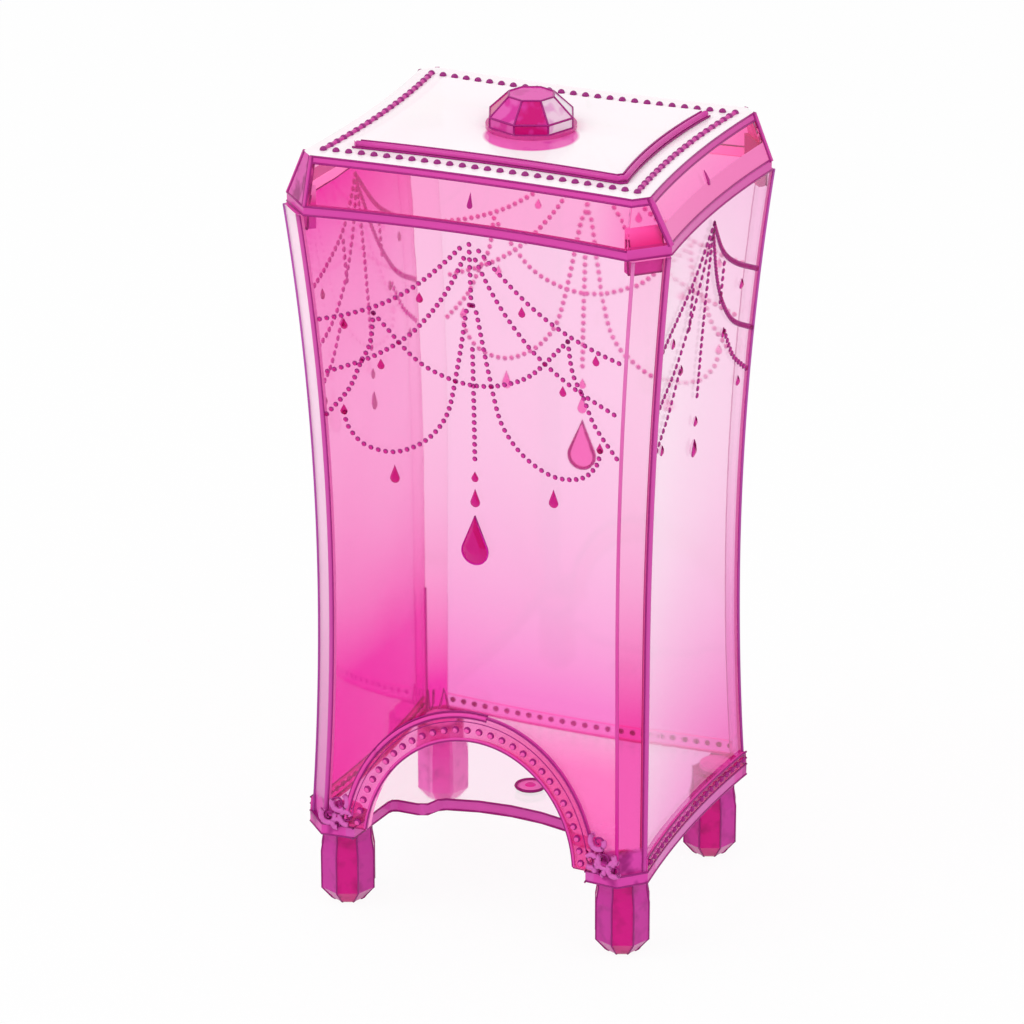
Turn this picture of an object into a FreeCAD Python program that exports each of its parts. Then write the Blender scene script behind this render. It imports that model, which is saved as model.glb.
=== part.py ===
import FreeCAD, Part
import math
import os

# Tall lidded cotton pad dispenser of clear tinted plastic, all lengths in millimetres.
# +Z is up, the front faces -Y, and the origin is the middle of the footprint on the table.

# Case: eight-sided in plan, waisted in height, its four wide sides bowed inwards.
CASE_WIDTH_AT_FLOOR = 94.6
CASE_WIDTH_AT_WAIST = 92.3
CASE_WIDTH_AT_RIM = 104.8
CASE_DEPTH_AT_FLOOR = 83.4
CASE_DEPTH_AT_WAIST = 77.5
CASE_DEPTH_AT_RIM = 87.6
CORNER_CUT_AT_FLOOR = 5.6
CORNER_CUT_AT_RIM = 6.8
FRONT_BOW_AT_FLOOR = 2.0
FRONT_BOW_AT_RIM = 3.3
SIDE_BOW = 1.9
FLOOR_UNDERSIDE = 22.8
FLOOR_THICKNESS = 3.0
WAIST_LEVEL = 85.0
RIM_LEVEL = 195.3
WALL = 2.1
LOFT_STEPS = 9

# Fits: glued faces keep a film of cement between them, the lid rests on the rim and lifts off.
GLUE_FILM = 0.05
LID_SEAT_GAP = 0.15
LID_TAB_CLEARANCE = 0.35
SPIGOT_CLEARANCE = 0.1

# Arched opening in the front wall and the raised moulding round it.
ARCH_WIDTH = 59.0
ARCH_HEIGHT = 32.3
ARCH_BAND_WIDTH = 6.2
ARCH_CROWN_SPREAD = 1.2
ARCH_BAND_THICKNESS = 1.3
ARCH_BEAD_INSET = 2.6
ARCH_LEAF_LENGTH = 6.0
ARCH_LEAF_WIDTH = 3.2
ARCH_LEAF_THICKNESS = 1.8
ARCH_LEAF_FAN = 50.0
ARCH_LEAF_LEAN = 25.0
ARCH_LEAF_SETBACK = 0.5
ARCH_LEAF_RISE = 4.5
ARCH_LINE_STEPS = 24

# Base: flange of the floor plate, skirting strips, finger notch and the gate disc.
SKIRTING_HEIGHT = 3.8
SKIRTING_THICKNESS = 0.9
NOTCH_FOOT_LAND = 6.3
NOTCH_SPLAY = 4.0
NOTCH_SHOULDER_DEPTH = 20.6
NOTCH_SHOULDER_ROUND = 2.0
NOTCH_STEP_RUN = 5.6
NOTCH_BEND_RUN = 5.9
NOTCH_THROAT_DEPTH = 26.4
NOTCH_DEPTH = 29.2
NOTCH_BEND_LEAN = 0.4
NOTCH_OVERRUN = 1.0
GATE_DISC_DIAMETER = 7.0
GATE_DISC_HEIGHT = 0.4

# Feet: eight-sided posts under the corners, each with a spigot up through the floor plate.
FOOT_INSET_X = 8.0
FOOT_INSET_Y = 10.0
FOOT_SIDES = 8
FOOT_ACROSS_FLATS = 13.8
FOOT_NECK_ACROSS_FLATS = 12.6
FOOT_TOE_ACROSS_FLATS = 8.6
FOOT_PAD_ACROSS_FLATS = 6.8
FOOT_TOE_LEVEL = 0.8
FOOT_BEVEL_LEVEL = 4.2
FOOT_SHOULDER_LEVEL = 15.0
FOOT_NECK_LEVEL = 18.8
SPIGOT_DIAMETER = 9.0
SPIGOT_STANDOUT = 1.0

# Lid: upright rim, hipped skirt, flat top with a raised panel, hollow underneath.
LID_RIM_OVERHANG = 0.05
LID_RIM_CORNER_CUT = 8.6
LID_RIM_HEIGHT = 2.4
LID_SIDE_SLOPE_RUN = 5.4
LID_FRONT_SLOPE_RUN = 4.0
LID_TOP_CORNER_CUT = 3.5
LID_HEIGHT = 14.55
LID_TOP_THICKNESS = 2.0
LID_FRONT_BOW_AT_TOP = 1.6
LID_WALL = 2.2
PANEL_SIDE_MARGIN = 10.2
PANEL_FRONT_MARGIN = 10.8
PANEL_CORNER_CUT = 1.2
PANEL_RISE = 1.4
TAB_WIDTH = 9.0
TAB_THICKNESS = 3.0
TAB_DROP = 4.0
TAB_RISE = 7.0

# Half beads, in rows on the lid, round the arch and on the skirting.
BEAD_DIAMETER = 1.9
BEAD_PITCH = 3.35
LID_BEAD_SIDE_MARGIN = 4.4
LID_BEAD_FRONT_MARGIN = 5.85
SKIRTING_BEAD_DIAMETER = 1.6

# Knob: a faceted gem in a round cup let into the lid.
CUP_DIAMETER = 22.4
CUP_DEPTH = 6.0
CUP_FLANGE_DIAMETER = 23.4
CUP_FLANGE_THICKNESS = 0.9
CUP_RECESS_DIAMETER = 21.0
CUP_RECESS_DEPTH = 4.6
GEM_DIAMETER = 22.8
GEM_GIRDLE_HEIGHT = 2.6
GEM_CROWN_HEIGHT = 5.0
GEM_TABLE_DIAMETER = 12.4
GEM_POINT_DIAMETER = 1.2
GEM_SIDES = 8
GEM_RECESS_CLEARANCE = 0.3

# Flat-backed crystal drops: sizes, then how far each hangs below the rim and off the middle.
DROP_TABLE_SHARE = 0.5
DROP_GIRDLE_SHARE = 0.3
DROP_THICKNESS_SHARE = 0.28
LID_DROP_WIDTH = 1.5
LID_DROP_LENGTH = 4.2
LID_DROP_SEAT = 0.1
BIG_DROP_WIDTH = 7.2
BIG_DROP_LENGTH = 13.4
LOOP_DROP_WIDTH = 2.6
LOOP_DROP_LENGTH = 5.0
SMALL_DROP_WIDTH = 1.9
SMALL_DROP_LENGTH = 2.9
FRONT_PENDANT_SMALL_DOWN = 66.5
FRONT_PENDANT_MIDDLE_DOWN = 72.4
FRONT_PENDANT_BIG_DOWN = 83.9
LOOP_DROP_OFF = 22.0
LOOP_DROP_DOWN = 68.8
FAN_DROP_OFF = 14.0
FAN_DROP_DOWN = 19.0
EDGE_DROP_OFF = 34.5
EDGE_DROP_DOWN = 28.6
KNOT_DROP_OFF = 25.0
KNOT_DROP_DOWN = 38.7
LOOP_END_DROP_OFF = 35.3
LOOP_END_DROP_DOWN = 52.4
SIDE_PENDANT_SMALL_DOWN = 57.6
SIDE_PENDANT_MIDDLE_DOWN = 65.1
SIDE_UPPER_DROP_OFF = 24.2
SIDE_UPPER_DROP_DOWN = 27.7
SIDE_MIDDLE_DROP_OFF = 15.0
SIDE_MIDDLE_DROP_DOWN = 38.2
SIDE_LOWER_DROP_OFF = 27.0
SIDE_LOWER_DROP_DOWN = 55.7

Vec = FreeCAD.Vector
EIGHTH_TURN_MITRE = math.tan(math.radians(22.5))
FLOOR_TOP = FLOOR_UNDERSIDE + FLOOR_THICKNESS
SKIRTING_TOP = FLOOR_TOP + SKIRTING_HEIGHT
LID_BOTTOM = RIM_LEVEL + LID_SEAT_GAP
LID_SHOULDER = LID_BOTTOM + LID_RIM_HEIGHT
LID_TOP_LEVEL = LID_BOTTOM + LID_HEIGHT
PANEL_TOP = LID_TOP_LEVEL + PANEL_RISE

# Each wide side: the way it faces, and the way that runs along it.
SIDES = {
    "front": (Vec(0, -1, 0), Vec(1, 0, 0)),
    "right": (Vec(1, 0, 0), Vec(0, 1, 0)),
    "back": (Vec(0, 1, 0), Vec(-1, 0, 0)),
    "left": (Vec(-1, 0, 0), Vec(0, -1, 0)),
}
CORNERS = {
    "front_left": (-1, -1),
    "front_right": (1, -1),
    "back_right": (1, 1),
    "back_left": (-1, 1),
}


def waisted(at_floor, at_waist, at_rim, level):
    """A width that grows with the square of the distance from the waist."""
    end, size = (RIM_LEVEL, at_rim) if level > WAIST_LEVEL else (FLOOR_UNDERSIDE, at_floor)
    return at_waist + (size - at_waist) * ((level - WAIST_LEVEL) / (end - WAIST_LEVEL)) ** 2


def graded(at_floor, at_rim, level):
    """A size that changes evenly from the floor to the rim."""
    share = (level - FLOOR_UNDERSIDE) / (RIM_LEVEL - FLOOR_UNDERSIDE)
    return at_floor + (at_rim - at_floor) * share


def case_plan(level):
    """Half width, half depth, corner cut, front bow and side bow of the case's outside."""
    return (
        waisted(CASE_WIDTH_AT_FLOOR, CASE_WIDTH_AT_WAIST, CASE_WIDTH_AT_RIM, level) / 2,
        waisted(CASE_DEPTH_AT_FLOOR, CASE_DEPTH_AT_WAIST, CASE_DEPTH_AT_RIM, level) / 2,
        graded(CORNER_CUT_AT_FLOOR, CORNER_CUT_AT_RIM, level),
        graded(FRONT_BOW_AT_FLOOR, FRONT_BOW_AT_RIM, level),
        SIDE_BOW,
    )


def lid_plan(level):
    """The same five sizes for the lid's outside: upright rim, then an even taper to the top."""
    share = max(0.0, (level - LID_SHOULDER) / (LID_TOP_LEVEL - LID_SHOULDER))
    half_width = CASE_WIDTH_AT_RIM / 2 + LID_RIM_OVERHANG
    half_depth = CASE_DEPTH_AT_RIM / 2 + LID_RIM_OVERHANG
    rim = (half_width, half_depth, LID_RIM_CORNER_CUT, FRONT_BOW_AT_RIM, SIDE_BOW)
    top = (half_width - LID_SIDE_SLOPE_RUN, half_depth - LID_FRONT_SLOPE_RUN, LID_TOP_CORNER_CUT,
           LID_FRONT_BOW_AT_TOP, SIDE_BOW)
    return tuple(low + (high - low) * share for low, high in zip(rim, top))


def grown(plan, outset):
    """A plan moved outwards by outset, keeping its corner cuts parallel."""
    half_width, half_depth, cut, front_bow, side_bow = plan
    return (half_width + outset, half_depth + outset, cut + outset * (2 - math.sqrt(2)),
            front_bow, side_bow)


def side_sizes(plan, side):
    """Distance of a side from the axis, half its length between corner cuts, and its bow."""
    half_width, half_depth, cut, front_bow, side_bow = plan
    if side in ("front", "back"):
        return half_depth, half_width - cut, front_bow
    return half_width, half_depth - cut, side_bow


def side_point(side, along, out, level):
    facing, running = SIDES[side]
    return running * along + facing * out + Vec(0, 0, level)


def bowed_edge(side, plan, level, trim=0, backwards=False):
    """The inward-bowed plan line of one side, as an arc through its middle."""
    out, half, bow = side_sizes(plan, side)
    half -= trim
    ends = [side_point(side, -half, out, level), side_point(side, half, out, level)]
    if backwards:
        ends.reverse()
    return Part.Arc(ends[0], side_point(side, 0, out - bow, level), ends[1]).toShape()


def plan_wire(plan, level):
    """The closed eight-sided outline: four bowed sides joined by straight corner cuts."""
    arcs = [bowed_edge(side, plan, level) for side in SIDES]
    edges = []
    for arc, following in zip(arcs, arcs[1:] + arcs[:1]):
        edges.append(arc)
        edges.append(Part.makeLine(arc.Vertexes[-1].Point, following.Vertexes[0].Point))
    return Part.Wire(edges)


def plan_slab(plan, bottom, top):
    return Part.Face(plan_wire(plan, bottom)).extrude(Vec(0, 0, top - bottom))


def levels(bottom, top):
    return [bottom + (top - bottom) * step / LOFT_STEPS for step in range(LOFT_STEPS + 1)]


def wall_slab(side, bottom, top, outer, inner, trim=0):
    """A curved slab along one side of the case, from inner to outer off the outside face."""
    wires = []
    for level in levels(bottom, top):
        outside = bowed_edge(side, grown(case_plan(level), outer), level, trim)
        inside = bowed_edge(side, grown(case_plan(level), inner), level, trim, backwards=True)
        wires.append(Part.Wire([
            outside,
            Part.makeLine(outside.Vertexes[-1].Point, inside.Vertexes[0].Point),
            inside,
            Part.makeLine(inside.Vertexes[-1].Point, outside.Vertexes[0].Point),
        ]))
    return Part.makeLoft(wires, True, False)


def wall_panel(side):
    """One wide wall, short of the corner strips by the cement film."""
    return wall_slab(side, FLOOR_TOP + GLUE_FILM, RIM_LEVEL, 0, -WALL, trim=GLUE_FILM)


def corner_strip(hand_x, hand_y):
    """The narrow upright wall across one corner, mitred to the wide walls beside it."""
    wires = []
    for level in levels(FLOOR_TOP + GLUE_FILM, RIM_LEVEL):
        half_width, half_depth, cut, _, _ = case_plan(level)
        back = WALL * EIGHTH_TURN_MITRE
        outline = [
            (half_width - cut, half_depth),
            (half_width, half_depth - cut),
            (half_width - WALL, half_depth - cut - back),
            (half_width - cut - back, half_depth - WALL),
        ]
        points = [Vec(x * hand_x, y * hand_y, level) for x, y in outline]
        wires.append(Part.makePolygon(points + points[:1]))
    return Part.makeLoft(wires, True, False)


def wall_point(side, along, level, out=0):
    """A point on the outside face of a wall, out millimetres off it along the facing way."""
    distance, half, bow = side_sizes(case_plan(level), side)
    return side_point(side, along, distance - bow * (1 - (along / half) ** 2) + out, level)


def wall_axes(side, along, level):
    """Directions along, up and square out of a wall at one of its points."""
    reach = 0.5
    running = wall_point(side, along + reach, level) - wall_point(side, along - reach, level)
    rising = wall_point(side, along, level + reach) - wall_point(side, along, level - reach)
    facing = running.cross(rising).normalize()
    return facing.cross(rising).normalize() * -1, rising.normalize(), facing


def arch_edge(outset):
    """Half of the arch's width and its height, grown by outset, and more so at the crown."""
    return ARCH_WIDTH / 2 + outset, ARCH_HEIGHT + outset * ARCH_CROWN_SPREAD


def arch_prism(outset):
    """The half-elliptic space under the arch, from in front of the case to its axis."""
    half, rise = arch_edge(outset)
    drum = Part.makeCylinder(1, 1, Vec(0, -1, 0), Vec(0, 1, 0))
    stretch = FreeCAD.Matrix()
    stretch.scale(half, CASE_DEPTH_AT_RIM, rise)
    stretch.move(Vec(0, 0, FLOOR_UNDERSIDE))
    return drum.transformGeometry(stretch)


def front_wall():
    """The front wall with its arched opening down to the floor."""
    return wall_panel("front").cut(arch_prism(0))


def arch_band():
    """The raised moulding cemented round the arch, with three leaves at each foot."""
    half, rise = arch_edge(ARCH_BAND_WIDTH)
    top = FLOOR_UNDERSIDE + rise + GLUE_FILM
    slab = wall_slab("front", FLOOR_TOP + GLUE_FILM, top, ARCH_BAND_THICKNESS, GLUE_FILM)
    band = slab.common(arch_prism(ARCH_BAND_WIDTH)).cut(arch_prism(0))
    leaves = []
    for hand in (-1, 1):
        for tilt in (-ARCH_LEAF_FAN, 0, ARCH_LEAF_FAN):
            leaf = drop_body(ARCH_LEAF_WIDTH, ARCH_LEAF_LENGTH, ARCH_LEAF_THICKNESS)
            leaf.rotate(Vec(0, -ARCH_LEAF_LENGTH / 2, 0), Vec(0, 0, 1), hand * (tilt - ARCH_LEAF_LEAN))
            along = hand * (half - ARCH_LEAF_SETBACK)
            level = FLOOR_TOP + ARCH_LEAF_RISE
            leaves.append(on_wall(leaf, "front", along, level, GLUE_FILM))
    return band.multiFuse(leaves).removeSplitter()


def arch_beads():
    """Half beads evenly spaced on the middle line of the moulding."""
    half, rise = arch_edge(ARCH_BEAD_INSET)
    start = math.asin((FLOOR_TOP + BEAD_DIAMETER - FLOOR_UNDERSIDE) / rise)
    turns = [start + (math.pi - 2 * start) * step / ARCH_LINE_STEPS
             for step in range(ARCH_LINE_STEPS + 1)]
    line = Part.BSplineCurve()
    line.interpolate([Vec(half * math.cos(turn), 0, FLOOR_UNDERSIDE + rise * math.sin(turn))
                      for turn in turns])
    count = round(line.length() / BEAD_PITCH) + 1
    seat = ARCH_BAND_THICKNESS + GLUE_FILM
    return [bead_on_wall("front", spot.x, spot.z, seat, BEAD_DIAMETER)
            for spot in line.toShape().discretize(Number=count)]


def half_bead(centre, facing, diameter):
    return Part.makeSphere(diameter / 2, centre, facing, 0, 90, 360)


def bead_on_wall(side, along, level, seat, diameter):
    facing = wall_axes(side, along, level)[2]
    return half_bead(wall_point(side, along, level) + facing * seat, facing, diameter)


def on_wall(shape, side, along, level, seat):
    """Lays a shape drawn in the XY plane, +Y up, on a wall's outside face."""
    running, rising, facing = wall_axes(side, along, level)
    spin = FreeCAD.Rotation(running, rising, facing, "ZYX")
    place = FreeCAD.Placement(wall_point(side, along, level) + facing * seat, spin)
    return shape.transformed(place.toMatrix())


def drop_outline(width, length, share, lift):
    """A pear outline: a round foot and two straight flanks that meet in a point on top."""
    radius = width / 2
    reach = length - radius
    slope = radius / reach
    across = radius * math.sqrt(1 - slope ** 2)
    foot = -length / 2 + radius
    tip = Vec(0, length / 2 * share, lift)
    left = Vec(-across * share, (foot + radius * slope) * share, lift)
    right = Vec(across * share, (foot + radius * slope) * share, lift)
    base = Vec(0, -length / 2 * share, lift)
    return Part.Wire([Part.makeLine(tip, left), Part.Arc(left, base, right).toShape(),
                      Part.makeLine(right, tip)])


def drop_body(width, length, thickness):
    """A flat-backed crystal drop: a straight girdle, then a bevel up to a smaller table."""
    girdle = thickness * DROP_GIRDLE_SHARE
    outlines = [drop_outline(width, length, 1, 0), drop_outline(width, length, 1, girdle),
                drop_outline(width, length, DROP_TABLE_SHARE, thickness)]
    return Part.makeLoft(outlines, True, True)


def rise_under(side, along, level, width, length):
    """How far a wall's face rises above its tangent plane under the rim of a flat back."""
    centre = wall_point(side, along, level)
    facing = wall_axes(side, along, level)[2]
    rises = [(wall_point(side, along + across * width / 2, level + up * length / 2) - centre).dot(facing)
             for across in (-1, 0, 1) for up in (-1, 0, 1)]
    return max(rises)


def wall_drops(side):
    """The crystal drops of one wall, as separate solids."""
    big = (BIG_DROP_WIDTH, BIG_DROP_LENGTH)
    middle = (LOOP_DROP_WIDTH, LOOP_DROP_LENGTH)
    small = (SMALL_DROP_WIDTH, SMALL_DROP_LENGTH)
    if side in ("front", "back"):
        hung = [(0, FRONT_PENDANT_SMALL_DOWN, small), (0, FRONT_PENDANT_MIDDLE_DOWN, middle),
                (0, FRONT_PENDANT_BIG_DOWN, big)]
        pairs = [(LOOP_DROP_OFF, LOOP_DROP_DOWN, middle), (FAN_DROP_OFF, FAN_DROP_DOWN, small),
                 (EDGE_DROP_OFF, EDGE_DROP_DOWN, small), (KNOT_DROP_OFF, KNOT_DROP_DOWN, small),
                 (LOOP_END_DROP_OFF, LOOP_END_DROP_DOWN, small)]
    else:
        hung = [(0, SIDE_PENDANT_SMALL_DOWN, small), (0, SIDE_PENDANT_MIDDLE_DOWN, middle)]
        pairs = [(SIDE_UPPER_DROP_OFF, SIDE_UPPER_DROP_DOWN, small),
                 (SIDE_MIDDLE_DROP_OFF, SIDE_MIDDLE_DROP_DOWN, small),
                 (SIDE_LOWER_DROP_OFF, SIDE_LOWER_DROP_DOWN, small)]
    hung += [(hand * off, down, size) for off, down, size in pairs for hand in (-1, 1)]
    filmed_wall = wall_slab(side, FLOOR_TOP, RIM_LEVEL, GLUE_FILM, -WALL)
    drops = []
    for along, down, (width, length) in hung:
        level = RIM_LEVEL - down
        seat = GLUE_FILM + rise_under(side, along, level, width, length)
        body = on_wall(drop_body(width, length, width * DROP_THICKNESS_SHARE), side, along, level, seat)
        drops.append(body.cut(filmed_wall).Solids[0])
    return drops


def skirting(side):
    """The strip round the foot of one wall, standing on the flange of the floor plate."""
    return wall_slab(side, FLOOR_TOP + GLUE_FILM, SKIRTING_TOP, SKIRTING_THICKNESS, GLUE_FILM)


def skirting_beads(side):
    level = FLOOR_TOP + SKIRTING_HEIGHT / 2
    half = side_sizes(case_plan(level), side)[1] - SKIRTING_BEAD_DIAMETER
    seat = SKIRTING_THICKNESS + GLUE_FILM
    return [bead_on_wall(side, along, level, seat, SKIRTING_BEAD_DIAMETER)
            for along in evenly(half)]


def evenly(half):
    """Places from -half to half at about the bead pitch."""
    gaps = round(2 * half / BEAD_PITCH)
    return [-half + 2 * half * step / gaps for step in range(gaps + 1)]


def notch_prism(front_edge):
    """The finger notch: splayed sides, rounded shoulders and a shallow arched throat."""
    def spot(along, depth):
        return Vec(along, -front_edge + depth, FLOOR_UNDERSIDE)

    mouth = foot_places()["front_right"].x - NOTCH_FOOT_LAND
    shoulder = mouth - NOTCH_SPLAY
    step = shoulder - NOTCH_STEP_RUN
    throat = step - NOTCH_BEND_RUN
    edges = [Part.Arc(spot(-throat, NOTCH_THROAT_DEPTH), spot(0, NOTCH_DEPTH),
                      spot(throat, NOTCH_THROAT_DEPTH)).toShape()]
    for hand in (-1, 1):
        bend = Part.BSplineCurve()
        bend.interpolate(Points=[spot(hand * step, NOTCH_SHOULDER_DEPTH),
                                 spot(hand * throat, NOTCH_THROAT_DEPTH)],
                         InitialTangent=Vec(-hand, 0, 0),
                         FinalTangent=Vec(-hand, NOTCH_BEND_LEAN, 0))
        corner = NOTCH_SHOULDER_ROUND
        bulge = corner * math.sqrt(1 / 2)
        edges += [
            bend.toShape(),
            Part.makeLine(spot(hand * step, NOTCH_SHOULDER_DEPTH),
                          spot(hand * shoulder, NOTCH_SHOULDER_DEPTH)),
            Part.Arc(spot(hand * shoulder, NOTCH_SHOULDER_DEPTH),
                     spot(hand * (shoulder + bulge), NOTCH_SHOULDER_DEPTH - corner + bulge),
                     spot(hand * (shoulder + corner), NOTCH_SHOULDER_DEPTH - corner)).toShape(),
            Part.makeLine(spot(hand * (shoulder + corner), NOTCH_SHOULDER_DEPTH - corner),
                          spot(hand * mouth, -NOTCH_OVERRUN)),
        ]
    edges.append(Part.makeLine(spot(-mouth, -NOTCH_OVERRUN), spot(mouth, -NOTCH_OVERRUN)))
    outline = Part.Wire(Part.__sortEdges__(edges))
    return Part.Face(outline).extrude(Vec(0, 0, FLOOR_THICKNESS))


def foot_places():
    """Where the feet stand: in from the ends and the front of the case's floor."""
    out_x = CASE_WIDTH_AT_FLOOR / 2 - FOOT_INSET_X
    out_y = CASE_DEPTH_AT_FLOOR / 2 - FOOT_INSET_Y
    return {corner: Vec(hand_x * out_x, hand_y * out_y, 0)
            for corner, (hand_x, hand_y) in CORNERS.items()}


def floor_plate():
    """The floor with its flange, finger notch, spigot holes and the disc left by the gate."""
    plan = grown(case_plan(FLOOR_TOP), SKIRTING_THICKNESS)
    plate = plan_slab(plan, FLOOR_UNDERSIDE, FLOOR_TOP).cut(notch_prism(plan[1]))
    bore = SPIGOT_DIAMETER / 2 + SPIGOT_CLEARANCE
    for place in foot_places().values():
        plate = plate.cut(Part.makeCylinder(bore, FLOOR_TOP, place))
    disc = Part.makeCylinder(GATE_DISC_DIAMETER / 2, FLOOR_THICKNESS + GATE_DISC_HEIGHT,
                             Vec(0, 0, FLOOR_UNDERSIDE))
    return plate.fuse(disc).removeSplitter()


def polygon_wire(sides, across_flats, level):
    """A regular outline with a corner on the +X axis."""
    radius = across_flats / 2 / math.cos(math.pi / sides)
    turns = [2 * math.pi * step / sides for step in range(sides + 1)]
    return Part.makePolygon([Vec(radius * math.cos(turn), radius * math.sin(turn), level)
                             for turn in turns])


def foot(place):
    """One foot: bevelled toe, straight post, slimmer neck and the spigot on top."""
    profile = [
        (FOOT_PAD_ACROSS_FLATS, 0),
        (FOOT_TOE_ACROSS_FLATS, FOOT_TOE_LEVEL),
        (FOOT_ACROSS_FLATS, FOOT_BEVEL_LEVEL),
        (FOOT_ACROSS_FLATS, FOOT_SHOULDER_LEVEL),
        (FOOT_NECK_ACROSS_FLATS, FOOT_NECK_LEVEL),
        (FOOT_NECK_ACROSS_FLATS, FLOOR_UNDERSIDE - GLUE_FILM),
    ]
    wires = [polygon_wire(FOOT_SIDES, across, level) for across, level in profile]
    post = Part.makeLoft(wires, True, True)
    spigot_top = FLOOR_TOP + SPIGOT_STANDOUT
    spigot = Part.makeCylinder(SPIGOT_DIAMETER / 2, spigot_top - FOOT_NECK_LEVEL,
                               Vec(0, 0, FOOT_NECK_LEVEL))
    body = post.fuse(spigot)
    body.translate(place)
    return body


def lid_solid(inset, bottom, top):
    """The lid's outside form, moved in by inset, between two levels."""
    upright = plan_slab(grown(lid_plan(LID_SHOULDER), -inset), bottom, LID_SHOULDER)
    hips = Part.makeLoft([plan_wire(grown(lid_plan(LID_SHOULDER), -inset), LID_SHOULDER),
                          plan_wire(grown(lid_plan(top), -inset), top)], True, True)
    return upright.fuse(hips)


def lid_shell():
    """Hollow hipped lid with a raised top panel and the hole for the knob's cup."""
    outside = lid_solid(0, LID_BOTTOM, LID_TOP_LEVEL)
    hollow = lid_solid(LID_WALL, LID_BOTTOM, LID_TOP_LEVEL - LID_TOP_THICKNESS)
    top_half_width, top_half_depth = lid_plan(LID_TOP_LEVEL)[:2]
    panel_plan = (top_half_width - PANEL_SIDE_MARGIN, top_half_depth - PANEL_FRONT_MARGIN,
                  PANEL_CORNER_CUT, LID_FRONT_BOW_AT_TOP, SIDE_BOW)
    panel = plan_slab(panel_plan, LID_TOP_LEVEL - LID_TOP_THICKNESS / 2, PANEL_TOP)
    hole = Part.makeCylinder(CUP_DIAMETER / 2 + GLUE_FILM, PANEL_TOP, Vec(0, 0, 0))
    return outside.cut(hollow).fuse(panel).cut(hole).removeSplitter()


def lid_tab(hand_x, hand_y):
    """A thick corner tab: cemented under the lid's hip, reaching down inside the case."""
    half_width, half_depth, cut, _, _ = case_plan(RIM_LEVEL)
    outward = Vec(hand_x, hand_y, 0).normalize()
    beside = Vec(0, 0, 1).cross(outward)
    middle = Vec(hand_x * (half_width - cut / 2), hand_y * (half_depth - cut / 2), 0)
    back = WALL + LID_TAB_CLEARANCE + TAB_THICKNESS
    low = middle - outward * back - beside * (TAB_WIDTH / 2) + Vec(0, 0, RIM_LEVEL - TAB_DROP)
    block = Part.Face(Part.makePolygon([low, low + beside * TAB_WIDTH,
                                        low + beside * TAB_WIDTH + outward * back,
                                        low + outward * back, low])).extrude(
        Vec(0, 0, LID_BOTTOM + TAB_RISE - RIM_LEVEL + TAB_DROP))
    drop_levels = (RIM_LEVEL - TAB_DROP, LID_BOTTOM)
    in_case = Part.makeLoft([plan_wire(grown(case_plan(level), -WALL - LID_TAB_CLEARANCE), level)
                             for level in drop_levels], True, True)
    in_lid = lid_solid(LID_WALL + GLUE_FILM, LID_BOTTOM, LID_TOP_LEVEL - LID_TOP_THICKNESS)
    return block.common(in_case).fuse(block.common(in_lid)).removeSplitter()


def lid_beads():
    """Four rows of half beads that frame the raised panel."""
    top_half_width, top_half_depth = lid_plan(LID_TOP_LEVEL)[:2]
    half_width = top_half_width - LID_BEAD_SIDE_MARGIN
    half_depth = top_half_depth - LID_BEAD_FRONT_MARGIN
    level = LID_TOP_LEVEL + GLUE_FILM
    up = Vec(0, 0, 1)
    spots = []
    for hand in (-1, 1):
        for along in evenly(half_width):
            bow = LID_FRONT_BOW_AT_TOP * (1 - (along / half_width) ** 2)
            spots.append(Vec(along, hand * (half_depth - bow), level))
        for along in evenly(half_depth)[1:-1]:
            bow = SIDE_BOW * (1 - (along / half_depth) ** 2)
            spots.append(Vec(hand * (half_width - bow), along, level))
    return [half_bead(spot, up, BEAD_DIAMETER) for spot in spots]


def lid_drops():
    """One slim drop in the middle of each slope of the lid."""
    drops = []
    middle = (LID_SHOULDER + LID_TOP_LEVEL) / 2
    for side, (facing, running) in SIDES.items():
        low, _, low_bow = side_sizes(lid_plan(LID_SHOULDER), side)
        high, _, high_bow = side_sizes(lid_plan(LID_TOP_LEVEL), side)
        rising = (facing * (high - high_bow - low + low_bow)
                  + Vec(0, 0, LID_TOP_LEVEL - LID_SHOULDER)).normalize()
        out = running.cross(rising)
        spin = FreeCAD.Rotation(running, rising, out, "ZYX")
        centre = facing * ((low - low_bow + high - high_bow) / 2) + Vec(0, 0, middle)
        place = FreeCAD.Placement(centre + out * LID_DROP_SEAT, spin)
        body = drop_body(LID_DROP_WIDTH, LID_DROP_LENGTH, LID_DROP_WIDTH * DROP_THICKNESS_SHARE)
        drops.append(body.transformed(place.toMatrix()))
    return drops


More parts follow.
